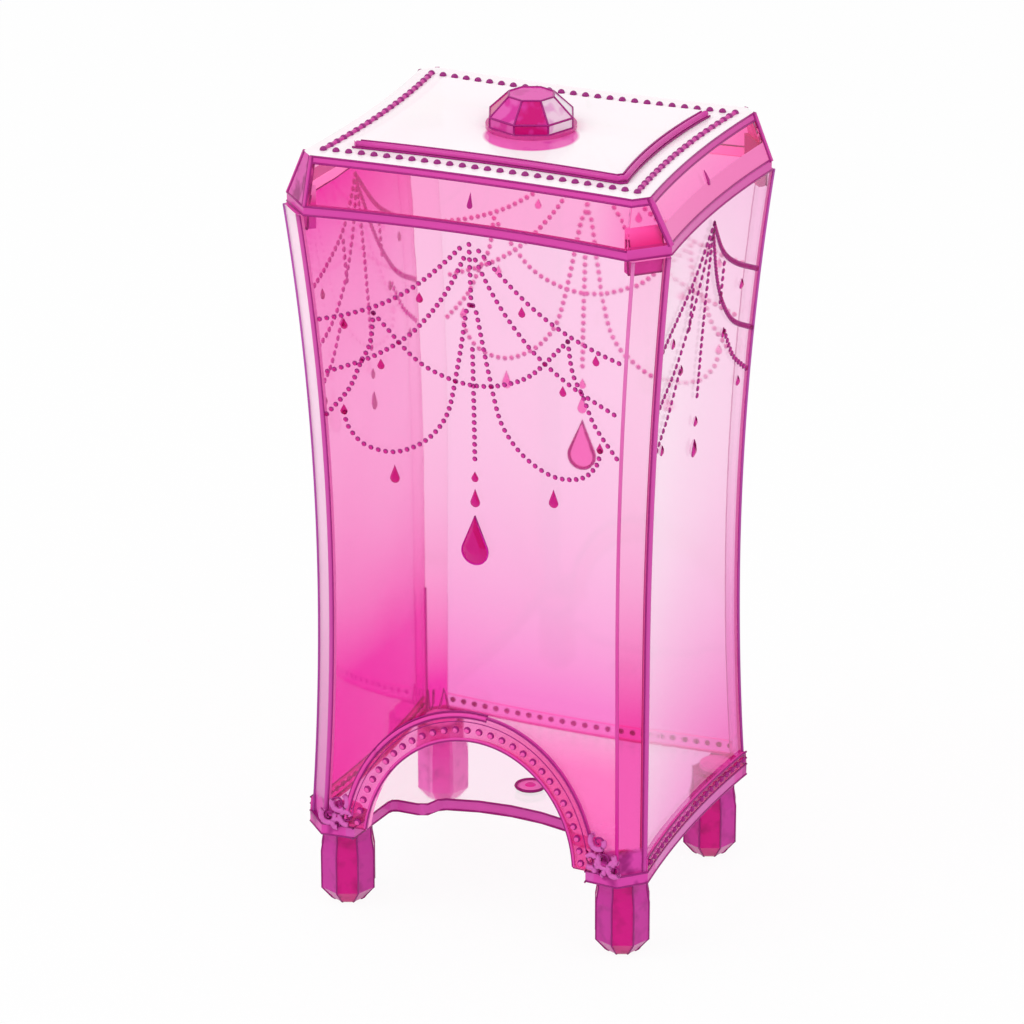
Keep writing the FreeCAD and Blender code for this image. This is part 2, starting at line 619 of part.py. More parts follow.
def knob_cup():
    """Round cup under the gem: a flange on the panel, a domed bottom and a conical recess."""
    radius = CUP_DIAMETER / 2
    ball = (radius ** 2 + CUP_DEPTH ** 2) / (2 * CUP_DEPTH)
    turn = math.asin(radius / ball) / 2
    flange_low = PANEL_TOP + GLUE_FILM
    flange_high = flange_low + CUP_FLANGE_THICKNESS
    bottom = Vec(0, 0, PANEL_TOP - CUP_DEPTH)
    side = Vec(ball * math.sin(turn), 0, PANEL_TOP - CUP_DEPTH + ball * (1 - math.cos(turn)))
    collar = Vec(radius, 0, PANEL_TOP)
    recess_foot = GEM_POINT_DIAMETER / 2 + GEM_RECESS_CLEARANCE
    corners = [collar, Vec(radius, 0, flange_low), Vec(CUP_FLANGE_DIAMETER / 2, 0, flange_low),
               Vec(CUP_FLANGE_DIAMETER / 2, 0, flange_high), Vec(CUP_RECESS_DIAMETER / 2, 0, flange_high),
               Vec(recess_foot, 0, flange_high - CUP_RECESS_DEPTH),
               Vec(0, 0, flange_high - CUP_RECESS_DEPTH), bottom]
    outline = Part.Wire([Part.Arc(bottom, side, collar).toShape()]
                        + Part.makePolygon(corners).Edges)
    return Part.Face(outline).revolve(Vec(0, 0, 0), Vec(0, 0, 1), 360)


def gem_knob():
    """Faceted gem: pointed underside in the cup, straight girdle, sloping crown, flat table."""
    base = PANEL_TOP + CUP_FLANGE_THICKNESS + 2 * GLUE_FILM
    side_share = math.cos(math.pi / GEM_SIDES)
    underside = CUP_RECESS_DIAMETER - 2 * GEM_RECESS_CLEARANCE
    point_depth = CUP_RECESS_DEPTH - GEM_RECESS_CLEARANCE
    crown = Part.makeLoft([
        polygon_wire(GEM_SIDES, GEM_DIAMETER * side_share, base),
        polygon_wire(GEM_SIDES, GEM_DIAMETER * side_share, base + GEM_GIRDLE_HEIGHT),
        polygon_wire(GEM_SIDES, GEM_TABLE_DIAMETER * side_share,
                     base + GEM_GIRDLE_HEIGHT + GEM_CROWN_HEIGHT),
    ], True, True)
    pavilion = Part.makeLoft([
        polygon_wire(GEM_SIDES, underside * side_share, base),
        polygon_wire(GEM_SIDES, GEM_POINT_DIAMETER * side_share, base - point_depth),
    ], True, True)
    return crown.fuse(pavilion)


def export(name, shape):
    """Writes one node, after checking that every solid in it is sound."""
    if isinstance(shape, list):
        shape = Part.makeCompound(shape)
    if not shape.isValid() or not shape.Solids:
        raise ValueError(name + " is not a sound solid")
    shape.exportStep("parts/" + name + ".step")
    print(name, len(shape.Solids), "solids", round(shape.Volume), "mm3")


os.makedirs("parts", exist_ok=True)

export("front_wall", front_wall())
for side in ("right", "back", "left"):
    export(side + "_wall", wall_panel(side))
    export(side + "_skirting", skirting(side))
export("skirting_beads", [bead for side in ("right", "back", "left") for bead in skirting_beads(side)])
for corner, hands in CORNERS.items():
    export("corner_strip_" + corner, corner_strip(*hands))
    export("lid_tab_" + corner, lid_tab(*hands))
for corner, place in foot_places().items():
    export("foot_" + corner, foot(place))
export("floor_plate", floor_plate())
export("arch_band", arch_band())
export("arch_beads", arch_beads())
for side in SIDES:
    export(side + "_wall_drops", wall_drops(side))
export("lid_shell", lid_shell())
export("lid_beads", lid_beads())
export("lid_drops", lid_drops())
export("knob_cup", knob_cup())
export("gem_knob", gem_knob())
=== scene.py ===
import math
import bpy
import numpy as np
from mathutils import Matrix, Vector


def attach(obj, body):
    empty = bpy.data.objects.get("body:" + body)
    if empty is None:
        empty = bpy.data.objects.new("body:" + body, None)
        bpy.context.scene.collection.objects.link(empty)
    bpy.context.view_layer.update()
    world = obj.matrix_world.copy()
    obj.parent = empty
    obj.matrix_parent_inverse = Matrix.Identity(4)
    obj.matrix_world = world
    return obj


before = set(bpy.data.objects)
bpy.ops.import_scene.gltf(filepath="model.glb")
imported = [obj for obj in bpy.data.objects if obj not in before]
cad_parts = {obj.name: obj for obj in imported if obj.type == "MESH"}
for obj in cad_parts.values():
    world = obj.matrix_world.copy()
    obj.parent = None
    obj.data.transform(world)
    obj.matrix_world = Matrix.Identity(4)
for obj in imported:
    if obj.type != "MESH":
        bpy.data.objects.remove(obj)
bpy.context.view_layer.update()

# ------------------------------
# Case walls. Four waisted panels of clear dyed plastic, each moulded in one piece
# and cemented to the corner strips; the dye lies deeper at the foot and on the left, and
# the right wall's nearly white pale end is a painted highlight.


class Sheet:
    """A node tree being filled in. An input takes a plain value or another node's output."""

    def __init__(self, tree):
        self.tree = tree

    def put(self, node, slot, value):
        if isinstance(value, bpy.types.NodeSocket):
            self.tree.links.new(value, node.inputs[slot])
        elif value is not None:
            node.inputs[slot].default_value = value

    def fill(self, node, **values):
        """Fills inputs by name; underscores stand for spaces."""
        for name, value in values.items():
            self.put(node, name.replace("_", " "), value)
        return node

    def add(self, kind, *inputs, output=0, **settings):
        """Makes a node, fills its inputs in their order and returns one output."""
        node = self.tree.nodes.new(kind)
        for name, value in settings.items():
            setattr(node, name, value)
        for slot, value in enumerate(inputs):
            self.put(node, slot, value)
        return node.outputs[output]

    def maths(self, operation, first, second=None, third=None, clamp=False):
        return self.add("ShaderNodeMath", first, second, third, operation=operation, use_clamp=clamp)

    def times(self, first, *others):
        """The product of all of them."""
        for other in others:
            first = self.maths("MULTIPLY", first, other)
        return first

    def flipped(self, mask):
        """1 - mask."""
        return self.maths("SUBTRACT", 1.0, mask)

    def ramp(self, value, low, high, at_low=0.0, at_high=1.0):
        """Runs evenly from one number at low to another at high."""
        return self.add("ShaderNodeMapRange", value, low, high, at_low, at_high)

    def mixed(self, share, first, second):
        """A colour part of the way from the first to the second."""
        unused = [None] * 5
        return self.add("ShaderNodeMix", share, *unused, first, second, output=2, data_type="RGBA")

    def noise(self, place, scale, detail):
        return self.add("ShaderNodeTexNoise", place, None, scale, detail)

    def place(self):
        """The place on the piece, in metres."""
        return self.add("ShaderNodeTexCoord", output=3)

    def normal(self):
        return self.add("ShaderNodeNewGeometry", output=3)

    def split(self, vector):
        return self.add("ShaderNodeSeparateXYZ", vector).node.outputs

    def dot(self, vector, other):
        return self.add("ShaderNodeVectorMath", vector, other, output=1, operation="DOT_PRODUCT")


def new_group(name, inputs, outputs):
    """An empty shader group: inputs maps names to default values, outputs names to kinds.
    Returns it with its input node's outputs by name, and its output node."""
    group = bpy.data.node_groups.new(name, "ShaderNodeTree")
    for label, default in inputs.items():
        kind = {3: "Vector", 4: "Color"}[len(default)] if isinstance(default, tuple) else "Float"
        socket = group.interface.new_socket(label, in_out="INPUT", socket_type="NodeSocket" + kind)
        socket.default_value = default
    for label, kind in outputs.items():
        group.interface.new_socket(label, in_out="OUTPUT", socket_type="NodeSocket" + kind)
    return group, group.nodes.new("NodeGroupInput").outputs, group.nodes.new("NodeGroupOutput")


DYE_HEIGHT, DYE_WIDTH, DYE_DEPTH = 0.2, 0.1, 0.08


def dye_group():
    """Depth of the dye over the piece, as a colour between Pale and Deep.

    depth = foot share * (1 - z / dye height)^power + rim share * (z / dye height)^4
    + left share * (0.5 - x / dye width) + back share * (0.5 + y / dye depth)
    + cloud * (noise - 0.5), kept within 0..1. Grain is the scale of the noise.
    """
    group, given, out = new_group("dye by place", {
        "Pale": (1, 0.8, 0.9, 1), "Deep": (0.9, 0.3, 0.6, 1), "Foot Share": 0.6, "Foot Power": 1.0,
        "Rim Share": 0.0, "Left Share": 0.0, "Back Share": 0.0, "Cloud": 0.1, "Grain": 28.0},
        {"Color": "Color"})
    sheet = Sheet(group)
    place = sheet.place()
    x, y, z = sheet.split(place)
    height = sheet.maths("DIVIDE", z, DYE_HEIGHT)
    from_top = sheet.maths("SUBTRACT", 1.0, height, clamp=True)
    reaches = {
        "Foot Share": sheet.maths("POWER", from_top, given["Foot Power"]),
        "Rim Share": sheet.maths("POWER", height, 4.0, clamp=True),
        "Left Share": sheet.maths("SUBTRACT", 0.5, sheet.maths("DIVIDE", x, DYE_WIDTH), clamp=True),
        "Back Share": sheet.maths("ADD", 0.5, sheet.maths("DIVIDE", y, DYE_DEPTH), clamp=True)}
    clouds = sheet.maths("SUBTRACT", sheet.noise(place, given["Grain"], 2.0), 0.5)
    depth = sheet.maths("MULTIPLY", clouds, given["Cloud"])
    for share, reach in reaches.items():
        depth = sheet.maths("MULTIPLY_ADD", reach, given[share], depth)
    depth = sheet.maths("ADD", depth, 0.0, clamp=True)
    sheet.fill(out, Color=sheet.mixed(depth, given["Pale"], given["Deep"]))
    return group


def rim_group():
    """Where the cut ends and bands are painted: 1 on faces turned away from Facing, and in two bands of
    height.

    A face counts as turned away when |normal . facing| is under Edge Limit; a band counts
    between its low and high, both in metres, and only on faces that don't look upwards. The
    lower band's top rises by Right Lift * the x of the normal.
    """
    group, given, out = new_group("painted edges", {
        "Facing": (0, 1, 0), "Edge Limit": 0.5, "Band Low": -1.0, "Band High": -1.0, "Upper Low": -1.0,
        "Upper High": -1.0, "Right Lift": 0.0}, {"Mask": "Float"})
    sheet = Sheet(group)
    normal = sheet.normal()
    turned = sheet.maths("ABSOLUTE", sheet.dot(normal, given["Facing"]))
    mask = sheet.maths("LESS_THAN", turned, given["Edge Limit"])
    to_right, _, upward = sheet.split(normal)
    z = sheet.split(sheet.place())[2]
    steep = sheet.maths("LESS_THAN", upward, 0.8)
    lifted = sheet.maths("MULTIPLY_ADD", sheet.maths("MAXIMUM", to_right, 0.0), given["Right Lift"],
                         given["Band High"])
    for low, high in ((given["Band Low"], lifted), (given["Upper Low"], given["Upper High"])):
        band = sheet.times(sheet.maths("GREATER_THAN", z, low), sheet.maths("LESS_THAN", z, high), steep)
        mask = sheet.maths("MAXIMUM", mask, band)
    sheet.fill(out, Mask=mask)
    return group


def skin_group():
    """Moulded skin: Height is a slow flow wave plus a tenth of fine orange peel, and Roughness
    is gloss + smudge * noise, with the noise stretched along the flow of the plastic."""
    group, given, out = new_group("moulded skin", {"Gloss": 0.02, "Smudge": 0.04},
                                  {"Roughness": "Float", "Height": "Float"})
    sheet = Sheet(group)
    place = sheet.place()
    flow = sheet.add("ShaderNodeMapping", place, None, None, (1.0, 1.0, 0.25))
    wave = sheet.noise(flow, 45.0, 1.0)
    peel = sheet.noise(place, 900.0, 1.0)
    smudge = sheet.noise(flow, 90.0, 4.0)
    sheet.fill(out, Height=sheet.maths("MULTIPLY_ADD", peel, 0.1, wave),
               Roughness=sheet.maths("MULTIPLY_ADD", smudge, given["Smudge"], given["Gloss"]))
    return group


DYE, RIM, SKIN = dye_group(), rim_group(), skin_group()
SPECULAR_TINT = (1.0, 0.35, 0.72, 1)


def placed(sheet, group, **values):
    """Places one of the groups in a material with its own values; returns its outputs."""
    node = sheet.tree.nodes.new("ShaderNodeGroup")
    node.node_tree = group
    return sheet.fill(node, **values).outputs


def dyed(sheet, pale, deep, values):
    """A colour from pale to deep, by the dye group."""
    return placed(sheet, DYE, Pale=(*pale, 1), Deep=(*deep, 1), **values)["Color"]


def new_material(name):
    """A material, a sheet for it and its plastic shader."""
    material = bpy.data.materials.new(name)
    material.use_nodes = True
    return material, Sheet(material.node_tree), material.node_tree.nodes["Principled BSDF"]


def clear_plastic(name, pale, deep, inside=(0.95, 0.25, 0.62), density=25.0, dye=None, skin=None,
                  wobble=0.0, ior=1.49):
    """Clear dyed plastic: refracting, tinted by the dye, with a plain absorption inside.
    Shadow rays pass it as a tinted sheet."""
    material, sheet, plastic = new_material(name)
    tint = dyed(sheet, pale, deep, dye or {})
    face = placed(sheet, SKIN, **(skin or {}))
    sheet.fill(plastic, Transmission_Weight=1.0, IOR=ior, Specular_Tint=SPECULAR_TINT, Base_Color=tint,
               Roughness=face["Roughness"])
    if wobble:
        bump = sheet.tree.nodes.new("ShaderNodeBump")
        sheet.fill(bump, Strength=1.0, Distance=wobble, Height=face["Height"])
        sheet.fill(plastic, Normal=bump.outputs[0])
    lamp_ray = sheet.add("ShaderNodeLightPath", output=1)
    surface = sheet.add("ShaderNodeMixShader", lamp_ray, plastic.outputs[0],
                        sheet.add("ShaderNodeBsdfTransparent", tint))
    surface.node.name = "Lamp Mix"
    sheet.fill(sheet.tree.nodes["Material Output"], Surface=surface,
               Volume=sheet.add("ShaderNodeVolumeAbsorption", (*inside, 1), density))
    return material


def deep_shader(sheet, shader, pale, deep, glow, gloss, smudge, dye):
    """Sets a shader to plastic too deeply dyed to see through, with a painted glow: emission
    of its own colour that stands in for the light led to it."""
    colour = dyed(sheet, pale, deep, dye)
    sheet.fill(shader, Base_Color=colour, Emission_Color=colour, Emission_Strength=glow,
               Specular_IOR_Level=0.2, Roughness=placed(sheet, SKIN, Gloss=gloss, Smudge=smudge)["Roughness"])


def cover(material, mask, pale, deep, glow=0.0, gloss=0.12, dye=None):
    """Hides part of a clear plastic under deeply dyed plastic, mottled from pale to deep, with a
    painted glow as strong as glow: mask is 0 to 1, a number or a socket of the material."""
    sheet = Sheet(material.node_tree)
    solid = sheet.tree.nodes.new("ShaderNodeBsdfPrincipled")
    deep_shader(sheet, solid, pale, deep, glow, gloss, 0.1, dye or dict(Foot_Share=0.8, Cloud=0.5))
    lamp_mix = sheet.tree.nodes["Lamp Mix"]
    below = lamp_mix.inputs[1].links[0].from_socket
    sheet.put(lamp_mix, 1, sheet.add("ShaderNodeMixShader", mask, below, solid.outputs[0]))


LILAC, DEEP_LILAC = (0.64, 0.055, 0.36), (0.52, 0.035, 0.32)


def paint_edges(material, glow=0.0, pale=LILAC, deep=DEEP_LILAC, **where):
    """Covers the cut ends and bands that the mask picks out: on walls, strips, floor, skirtings and
    bands with the deep colour of the plastic seen end on and a painted glow standing in for the
    light it leads to its edges; on the near beads and most drops with a dark rim, painted shade
    standing in for the dark at their edges. Where holds the mask's values.
    """
    cover(material, placed(Sheet(material.node_tree), RIM, **where)["Mask"], pale, deep, glow)
    return material


def place_of(material):
    """A sheet for the material, and the x, y and z of the place on the piece in metres."""
    sheet = Sheet(material.node_tree)
    return sheet, *sheet.split(sheet.place())


LUMP_LEVEL, LUMP_FADE, LUMP_HEIGHT = 0.0312, 0.0008, 0.006
CORNER_REACH = 0.0352, 0.0290


def low_corners(material):
    """1 in the four corners of the case, past the reach along x and y and under the lump
    level, 0 elsewhere; noise moves that level by half the lump height up and down."""
    sheet, x, y, z = place_of(material)
    lumps = sheet.noise(sheet.place(), 260.0, 1.0)
    height = sheet.maths("MULTIPLY_ADD", lumps, -LUMP_HEIGHT, sheet.maths("ADD", z, LUMP_HEIGHT / 2))
    mask = sheet.ramp(height, LUMP_LEVEL + LUMP_FADE, LUMP_LEVEL - LUMP_FADE)
    for along, reach in zip((x, y), CORNER_REACH):
        mask = sheet.times(mask, sheet.maths("GREATER_THAN", sheet.maths("ABSOLUTE", along), reach))
    return mask


def dress(node, material):
    """Puts one material on a carried-over solid."""
    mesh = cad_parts[node].data
    mesh.materials.clear()
    mesh.materials.append(material)


ALONG, ACROSS = (1.0, 0.0, 0.0), (0.0, 1.0, 0.0)
WALL_AXES = {"front": ACROSS, "back": ACROSS, "left": ALONG, "right": ALONG}
SOFT_PINK = (0.88, 0.20, 0.54)
MID_WALL = (1.0, 0.80, 0.92), (0.97, 0.34, 0.73)
WALL_DYES = {
    "front": (*MID_WALL, dict(Foot_Share=2.0, Foot_Power=4.0)),
    "back": (*MID_WALL, dict(Foot_Share=2.0, Foot_Power=4.0, Left_Share=0.1)),
    "left": ((1.0, 0.64, 0.84), (0.88, 0.01, 0.42),
             dict(Foot_Share=2.8, Foot_Power=3.0, Rim_Share=1.1, Cloud=0.2)),
    # Painted highlight: the right wall's pale colour is nearly white, standing in for the highlight across
    # it.
    "right": ((1.0, 0.97, 0.985), (0.91, 0.35, 0.70),
              dict(Foot_Share=1.6, Foot_Power=3.0, Back_Share=0.2, Rim_Share=0.4))}
LUMPY = dict(Foot_Share=0.0, Cloud=7.0, Grain=210.0)
CORNER_LUMPS = (0.66, 0.05, 0.38), (0.34, 0.008, 0.19), 0.05, 0.3, LUMPY
SHADE_DOWN, SHADE_TO_RIGHT, SHADE_SHARE = (0.068, 0.052), (-0.006, 0.012), 0.38
for side, (pale, deep, dye) in WALL_DYES.items():
    plastic = clear_plastic(side + " wall plastic", pale, deep, density=8.0, dye=dye)
    if side == "front":
        # Painted shade: the lower right of the front wall, beside the mouth, is covered in a deeper pink with
        # a painted glow.
        sheet, x, _, z = place_of(plastic)
        painted_shade_beside_mouth = sheet.times(sheet.ramp(z, *SHADE_DOWN), sheet.ramp(x, *SHADE_TO_RIGHT), SHADE_SHARE)
        cover(plastic, painted_shade_beside_mouth, (0.92, 0.07, 0.44), (0.90, 0.06, 0.42), 0.2)
        cover(plastic, low_corners(plastic), *CORNER_LUMPS)
    # The cut ends are covered in soft pink on the front wall and lilac on the others, with a painted glow
    # standing in for the light the wall leads to them.
    ends = SOFT_PINK if side == "front" else LILAC
    dress(side + "_wall", paint_edges(plastic, 0.25, ends, ends, Facing=WALL_AXES[side]))

# ------------------------------
# Corner strips. Narrow upright strips of the same plastic, mitred into the corners
# between the wide walls; seen end on, they hold more dye than the walls.
DIAGONAL = math.sqrt(0.5)
CORNERS = {"front_left": (-1, -1), "front_right": (1, -1), "back_right": (1, 1), "back_left": (-1, 1)}
STRIP_DYES = {          # pale, deep, painted glow at the edges, share and power of the dye at the foot
    "front_left": ((1.0, 0.90, 0.96), (0.85, 0.18, 0.58), 0.1, 3.2, 3.0),
    "front_right": ((1.0, 0.86, 0.94), (0.92, 0.13, 0.50), 0.15, 3.2, 3.0),
    "back_right": ((1.0, 0.80, 0.92), (0.90, 0.30, 0.70), 0.1, 3.2, 3.0),
    "back_left": ((1.0, 0.73, 0.88), (0.90, 0.02, 0.44), 0.15, 2.1, 4.0)}
for corner, (hand_x, hand_y) in CORNERS.items():
    pale, deep, edge_glow, foot_share, foot_power = STRIP_DYES[corner]
    plastic = clear_plastic("corner strip " + corner.replace("_", " "), pale, deep, density=12.0,
                            dye=dict(Foot_Share=foot_share, Foot_Power=foot_power, Rim_Share=0.2))
    facing = (hand_x * DIAGONAL, hand_y * DIAGONAL, 0.0)
    if corner == "front_left":
        cover(plastic, 0.6, (0.98, 0.84, 0.93), (0.72, 0.20, 0.56), 0.1,
              dye=dict(Foot_Share=1.3, Foot_Power=1.6))
    if hand_y < 0:
        cover(plastic, low_corners(plastic), *CORNER_LUMPS)
    # The cut ends are covered in soft pink on the front right strip and lilac on the others, with a painted
    # glow standing in for the light the strip leads to them.
    ends = SOFT_PINK if corner == "front_right" else LILAC
    dress("corner_strip_" + corner, paint_edges(plastic, edge_glow, ends, ends, Facing=facing))

# ------------------------------
# Seams. The cement squeezed out where the corner strips meet the walls: smooth pale rolls
# between fine dark lines at the front, whose pale colour is painted light standing in for the
# bright band along those corners, and dark runs inside the back left corner.
MM = 0.001
UPWARD = (0.0, 0.0, 1.0)
FLOOR_LEVEL, FLOOR_TOP, WAIST_LEVEL, RIM_LEVEL = 22.8, 25.8, 85.0, 195.3
HALF_WAIST, RIM_FLARE, FLOOR_FLARE = (46.15, 38.75), (6.25, 5.05), (1.15, 2.95)
CUT_AT_FLOOR, CUT_GROWTH = 5.6, 1.2
BOW_AT_FLOOR, BOW_GROWTH, SIDE_BOW = 2.0, 1.3, 1.9
WALL = 2.1
WALL_WAYS = {"front": ((0, -1, 0), (1, 0, 0)), "right": ((1, 0, 0), (0, 1, 0)),
             "back": ((0, 1, 0), (-1, 0, 0)), "left": ((-1, 0, 0), (0, -1, 0))}
WIDE_SIDES = "front", "back"
LINE_RADIUS, THICK_SEAM = 0.27, 0.45


def case_sizes(level):
    """Half width, half depth, corner cut, front bow and side bow of the case at some heights.

    The widths grow with the square of the height above or below the waist; the cut and
    the front bow grow evenly from the floor to the rim.
    """
    level = np.asarray(level, float)
    above = level > WAIST_LEVEL
    share = ((level - WAIST_LEVEL) / (np.where(above, RIM_LEVEL, FLOOR_LEVEL) - WAIST_LEVEL)) ** 2
    even = (level - FLOOR_LEVEL) / (RIM_LEVEL - FLOOR_LEVEL)
    halves = [waist + np.where(above, at_rim, at_floor) * share
              for waist, at_rim, at_floor in zip(HALF_WAIST, RIM_FLARE, FLOOR_FLARE)]
    return *halves, CUT_AT_FLOOR + CUT_GROWTH * even, BOW_AT_FLOOR + BOW_GROWTH * even, SIDE_BOW


def at_level(x, y, level):
    """Points at x, y and a height, each of them one number or one for every point."""
    return np.stack(np.broadcast_arrays(x, y, level), -1)


def half_length(side, sizes):
    """Half the run of a wide side: the half width or half depth less the corner cut."""
    return sizes[0 if side in WIDE_SIDES else 1] - sizes[2]


def side_line(side, sizes, along, level):
    """Points on one wide side of an eight-sided plan, some way along from its middle:
    distance = half size - bow * (1 - (along / half length)^2). Sizes as case_sizes gives."""
    facing, running = WALL_WAYS[side]
    away, bow = (sizes[1], sizes[3]) if side in WIDE_SIDES else (sizes[0], sizes[4])
    distance = away - bow * (1 - (along / half_length(side, sizes)) ** 2)
    return np.multiply.outer(along, running) + np.multiply.outer(distance, facing) + at_level(0, 0, level)


def on_facet(corner, share, sizes, level, inset=0.0):
    """Points on a corner facet, some share of the way over from the front or back wall to the
    side wall; both edges of a face that lies inset draw in by inset * tan 22.5 degrees."""
    hand_x, hand_y = CORNERS[corner]
    back = sizes[2] + inset * math.tan(math.radians(22.5))
    x = sizes[0] - inset * share - back * (1 - share)
    y = sizes[1] - inset * (1 - share) - back * share
    return at_level(hand_x * x, hand_y * y, level)


def corner_line(corner, share, inset=0.0, top=RIM_LEVEL):
    """Points up a corner strip: 0 is its edge at the front or back wall, 1 at the side wall."""
    heights = np.linspace(FLOOR_TOP, top, 50)
    return on_facet(corner, share, case_sizes(heights), heights, inset)


def unit(ways):
    """Each way divided by its own length."""
    return ways / np.linalg.norm(ways, axis=-1, keepdims=True)


def even_turns(count):
    """The angles 2 pi * k / count."""
    return np.arange(count) * 2 * np.pi / count


def tube(points, radius=LINE_RADIUS, closed=False, sides=6):
    """A round bar along a line: ring k holds point k plus radius times the cosine and sine
    of even turns, along two directions square to the line there. Returns vertices, faces."""
    points = np.asarray(points, float)
    count = len(points)
    ahead = unit(np.roll(points, -1, 0) - np.roll(points, 1, 0) if closed else np.gradient(points, axis=0))
    lean = np.where(np.abs(ahead[:, 2:]) > 0.8, [[0.3, 0.9, 0.0]], [UPWARD])
    aside = unit(np.cross(ahead, lean))
    other = np.cross(aside, ahead)
    turn = even_turns(sides)[:, None]
    ring = np.cos(turn) * aside[:, None] + np.sin(turn) * other[:, None]
    vertices = (points[:, None] + radius * ring).reshape(-1, 3)
    step = np.arange(count if closed else count - 1)[:, None]
    here, there = step * sides, (step + 1) % count * sides
    low = np.arange(sides)[None]
    high = (low + 1) % sides
    faces = np.stack([here + high, there + high, there + low, here + low], 2).reshape(-1, 4).tolist()
    if not closed:
        faces += [list(range(sides)), list(range(count * sides - 1, (count - 1) * sides - 1, -1))]
    return vertices, faces


def carry(name, parts, material, body="case"):
    """One piece from several lots of vertices in millimetres and faces, riding on a body."""
    vertices, faces, start = [], [], 0
    for points, polygons in parts:
        vertices.append(points)
        faces += [[start + corner for corner in polygon] for polygon in polygons]
        start += len(points)
    mesh = bpy.data.meshes.new(name)
    mesh.from_pydata((np.concatenate(vertices) * MM).tolist(), [], faces)
    mesh.polygons.foreach_set("use_smooth", [True] * len(faces))
    mesh.materials.append(material)
    piece = bpy.data.objects.new(name, mesh)
    bpy.context.scene.collection.objects.link(piece)
    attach(piece, body)


def solid_plastic(name, pale, deep, foot_share=0.6, glow=0.0):
    """Plastic so deeply dyed that it lets little light through, mottled by the dye group, with a painted glow
    as strong as glow.
    """
    material, sheet, plastic = new_material(name)
    deep_shader(sheet, plastic, pale, deep, glow, 0.15, 0.2, dict(Foot_Share=foot_share, Cloud=0.4))
    return material


def rolled(corner, on_side, line, radius, sink, gap, fine):
    """A roll along a corner line, drawn in by the sink factor, and a list of two fine lines
    at its flanks: one over the corner facet, one over the wall or slope."""
    hand_x, hand_y = CORNERS[corner]
    over_facet = np.array([-hand_x, hand_y, 0.0]) * (DIAGONAL if on_side else -DIAGONAL)
    over_wall = np.array([0.0, -hand_y, 0.0] if on_side else [-hand_x, 0.0, 0.0])
    flanks = [tube(line + (radius + gap) * way, fine) for way in (over_facet, over_wall)]
    return tube(line * [sink, sink, 1.0], radius, sides=8), flanks


# Outline pink: dark lines on the joints, and painted shade along moulded edges, standing in for the dark
# outlines that clear plastic shows at its edges.
outline_pink = solid_plastic("outline pink", (0.36, 0.012, 0.20), (0.28, 0.010, 0.18))
# Run pink carries a painted glow.
run_pink = solid_plastic("run pink", (0.60, 0.002, 0.32), (0.50, 0.002, 0.28), glow=0.1)
CEMENT_RUNS = [[(0.12, 26.2), (0.20, 29.5), (0.30, 32.6), (0.40, 29.0), (0.52, 26.2)],
               [(0.70, 32.8), (0.72, 28.6), (0.80, 26.4), (0.88, 28.2), (0.94, 33.2)]]
TO_INSIDE = np.array([0.945, 0.935, 1.0])
RUN_RADIUS, LONG_RUN_RADIUS = 0.36, 0.42
runs = [tube(corner_line("back_left", 1, WALL, top=64.0), LONG_RUN_RADIUS)]
for run in CEMENT_RUNS:
    share, level = np.transpose(run)
    runs.append(tube(on_facet("back_left", share, case_sizes(level), level) * TO_INSIDE, RUN_RADIUS))
carry("cement_runs", runs, run_pink)
fine_seams, fillets = [tube(corner_line("back_left", 0, top=60.0))], []
for corner, on_side, radius in (("front_right", 1, 0.68), ("front_left", 0, 0.62)):
    line = corner_line(corner, on_side)
    roll, flanks = rolled(corner, on_side, line, radius, sink=0.997, gap=0.12, fine=0.2)
    fillets.append(roll)
    fine_seams += flanks
carry("corner_seams", fine_seams, outline_pink)
# The rolls' pale lilac is painted light, standing in for the bright band along the front corners.
carry("corner_fillets", fillets,
      solid_plastic("fillet lilac", (0.66, 0.085, 0.40), (0.56, 0.05, 0.36), foot_share=1.0))
# Painted light: pink lines up both edges of the front right strip stand in for the bright band along it.
carry("strip_lines", [tube(corner_line("front_right", 0), 0.5),
                      tube(corner_line("front_right", 1, WALL), 0.12)],
      solid_plastic("strip line pink", (0.80, 0.20, 0.52), (0.66, 0.008, 0.30), foot_share=1.2))
# Painted shade: a dark line along the inside of the left wall's rim stands in for the dark outline there.
rim_width, *rim_sizes = case_sizes(RIM_LEVEL)
rim = side_line("left", (rim_width - WALL, *rim_sizes), np.linspace(36.0, -36.0, 30), RIM_LEVEL)
carry("rim_line", [tube(rim, 0.2)], outline_pink)
# Thick lilac lines on the joints at the side edges of the front left and back right strips, painted shade
# standing in for the dark outline of the case there.
carry("corner_edges", [tube(corner_line(corner, 1), THICK_SEAM) for corner in ("front_left", "back_right")],
      solid_plastic("seam lilac", (0.52, 0.10, 0.46), (0.36, 0.03, 0.28), foot_share=1.0))

# ------------------------------
# Bead strings. Garlands of small half beads moulded on the walls: they fan out from
# the middle of the rim, hang as loops, and end in crystal drops.


def on_wall(side, along, level, out=0.0):
    """Points on a wall's outside face, out millimetres off it, and the facing, running and
    rising ways there; facing is square to ways that come from points 0.5 mm to both sides."""

    def spot(along, level):
        return side_line(side, case_sizes(level), along, level)

    run = unit(spot(along + 0.5, level) - spot(along - 0.5, level))
    rise = unit(spot(along, level + 0.5) - spot(along, level - 0.5))
    facing = unit(np.cross(run, rise))
    return spot(along, level) + out * facing, facing, run, np.cross(facing, run)


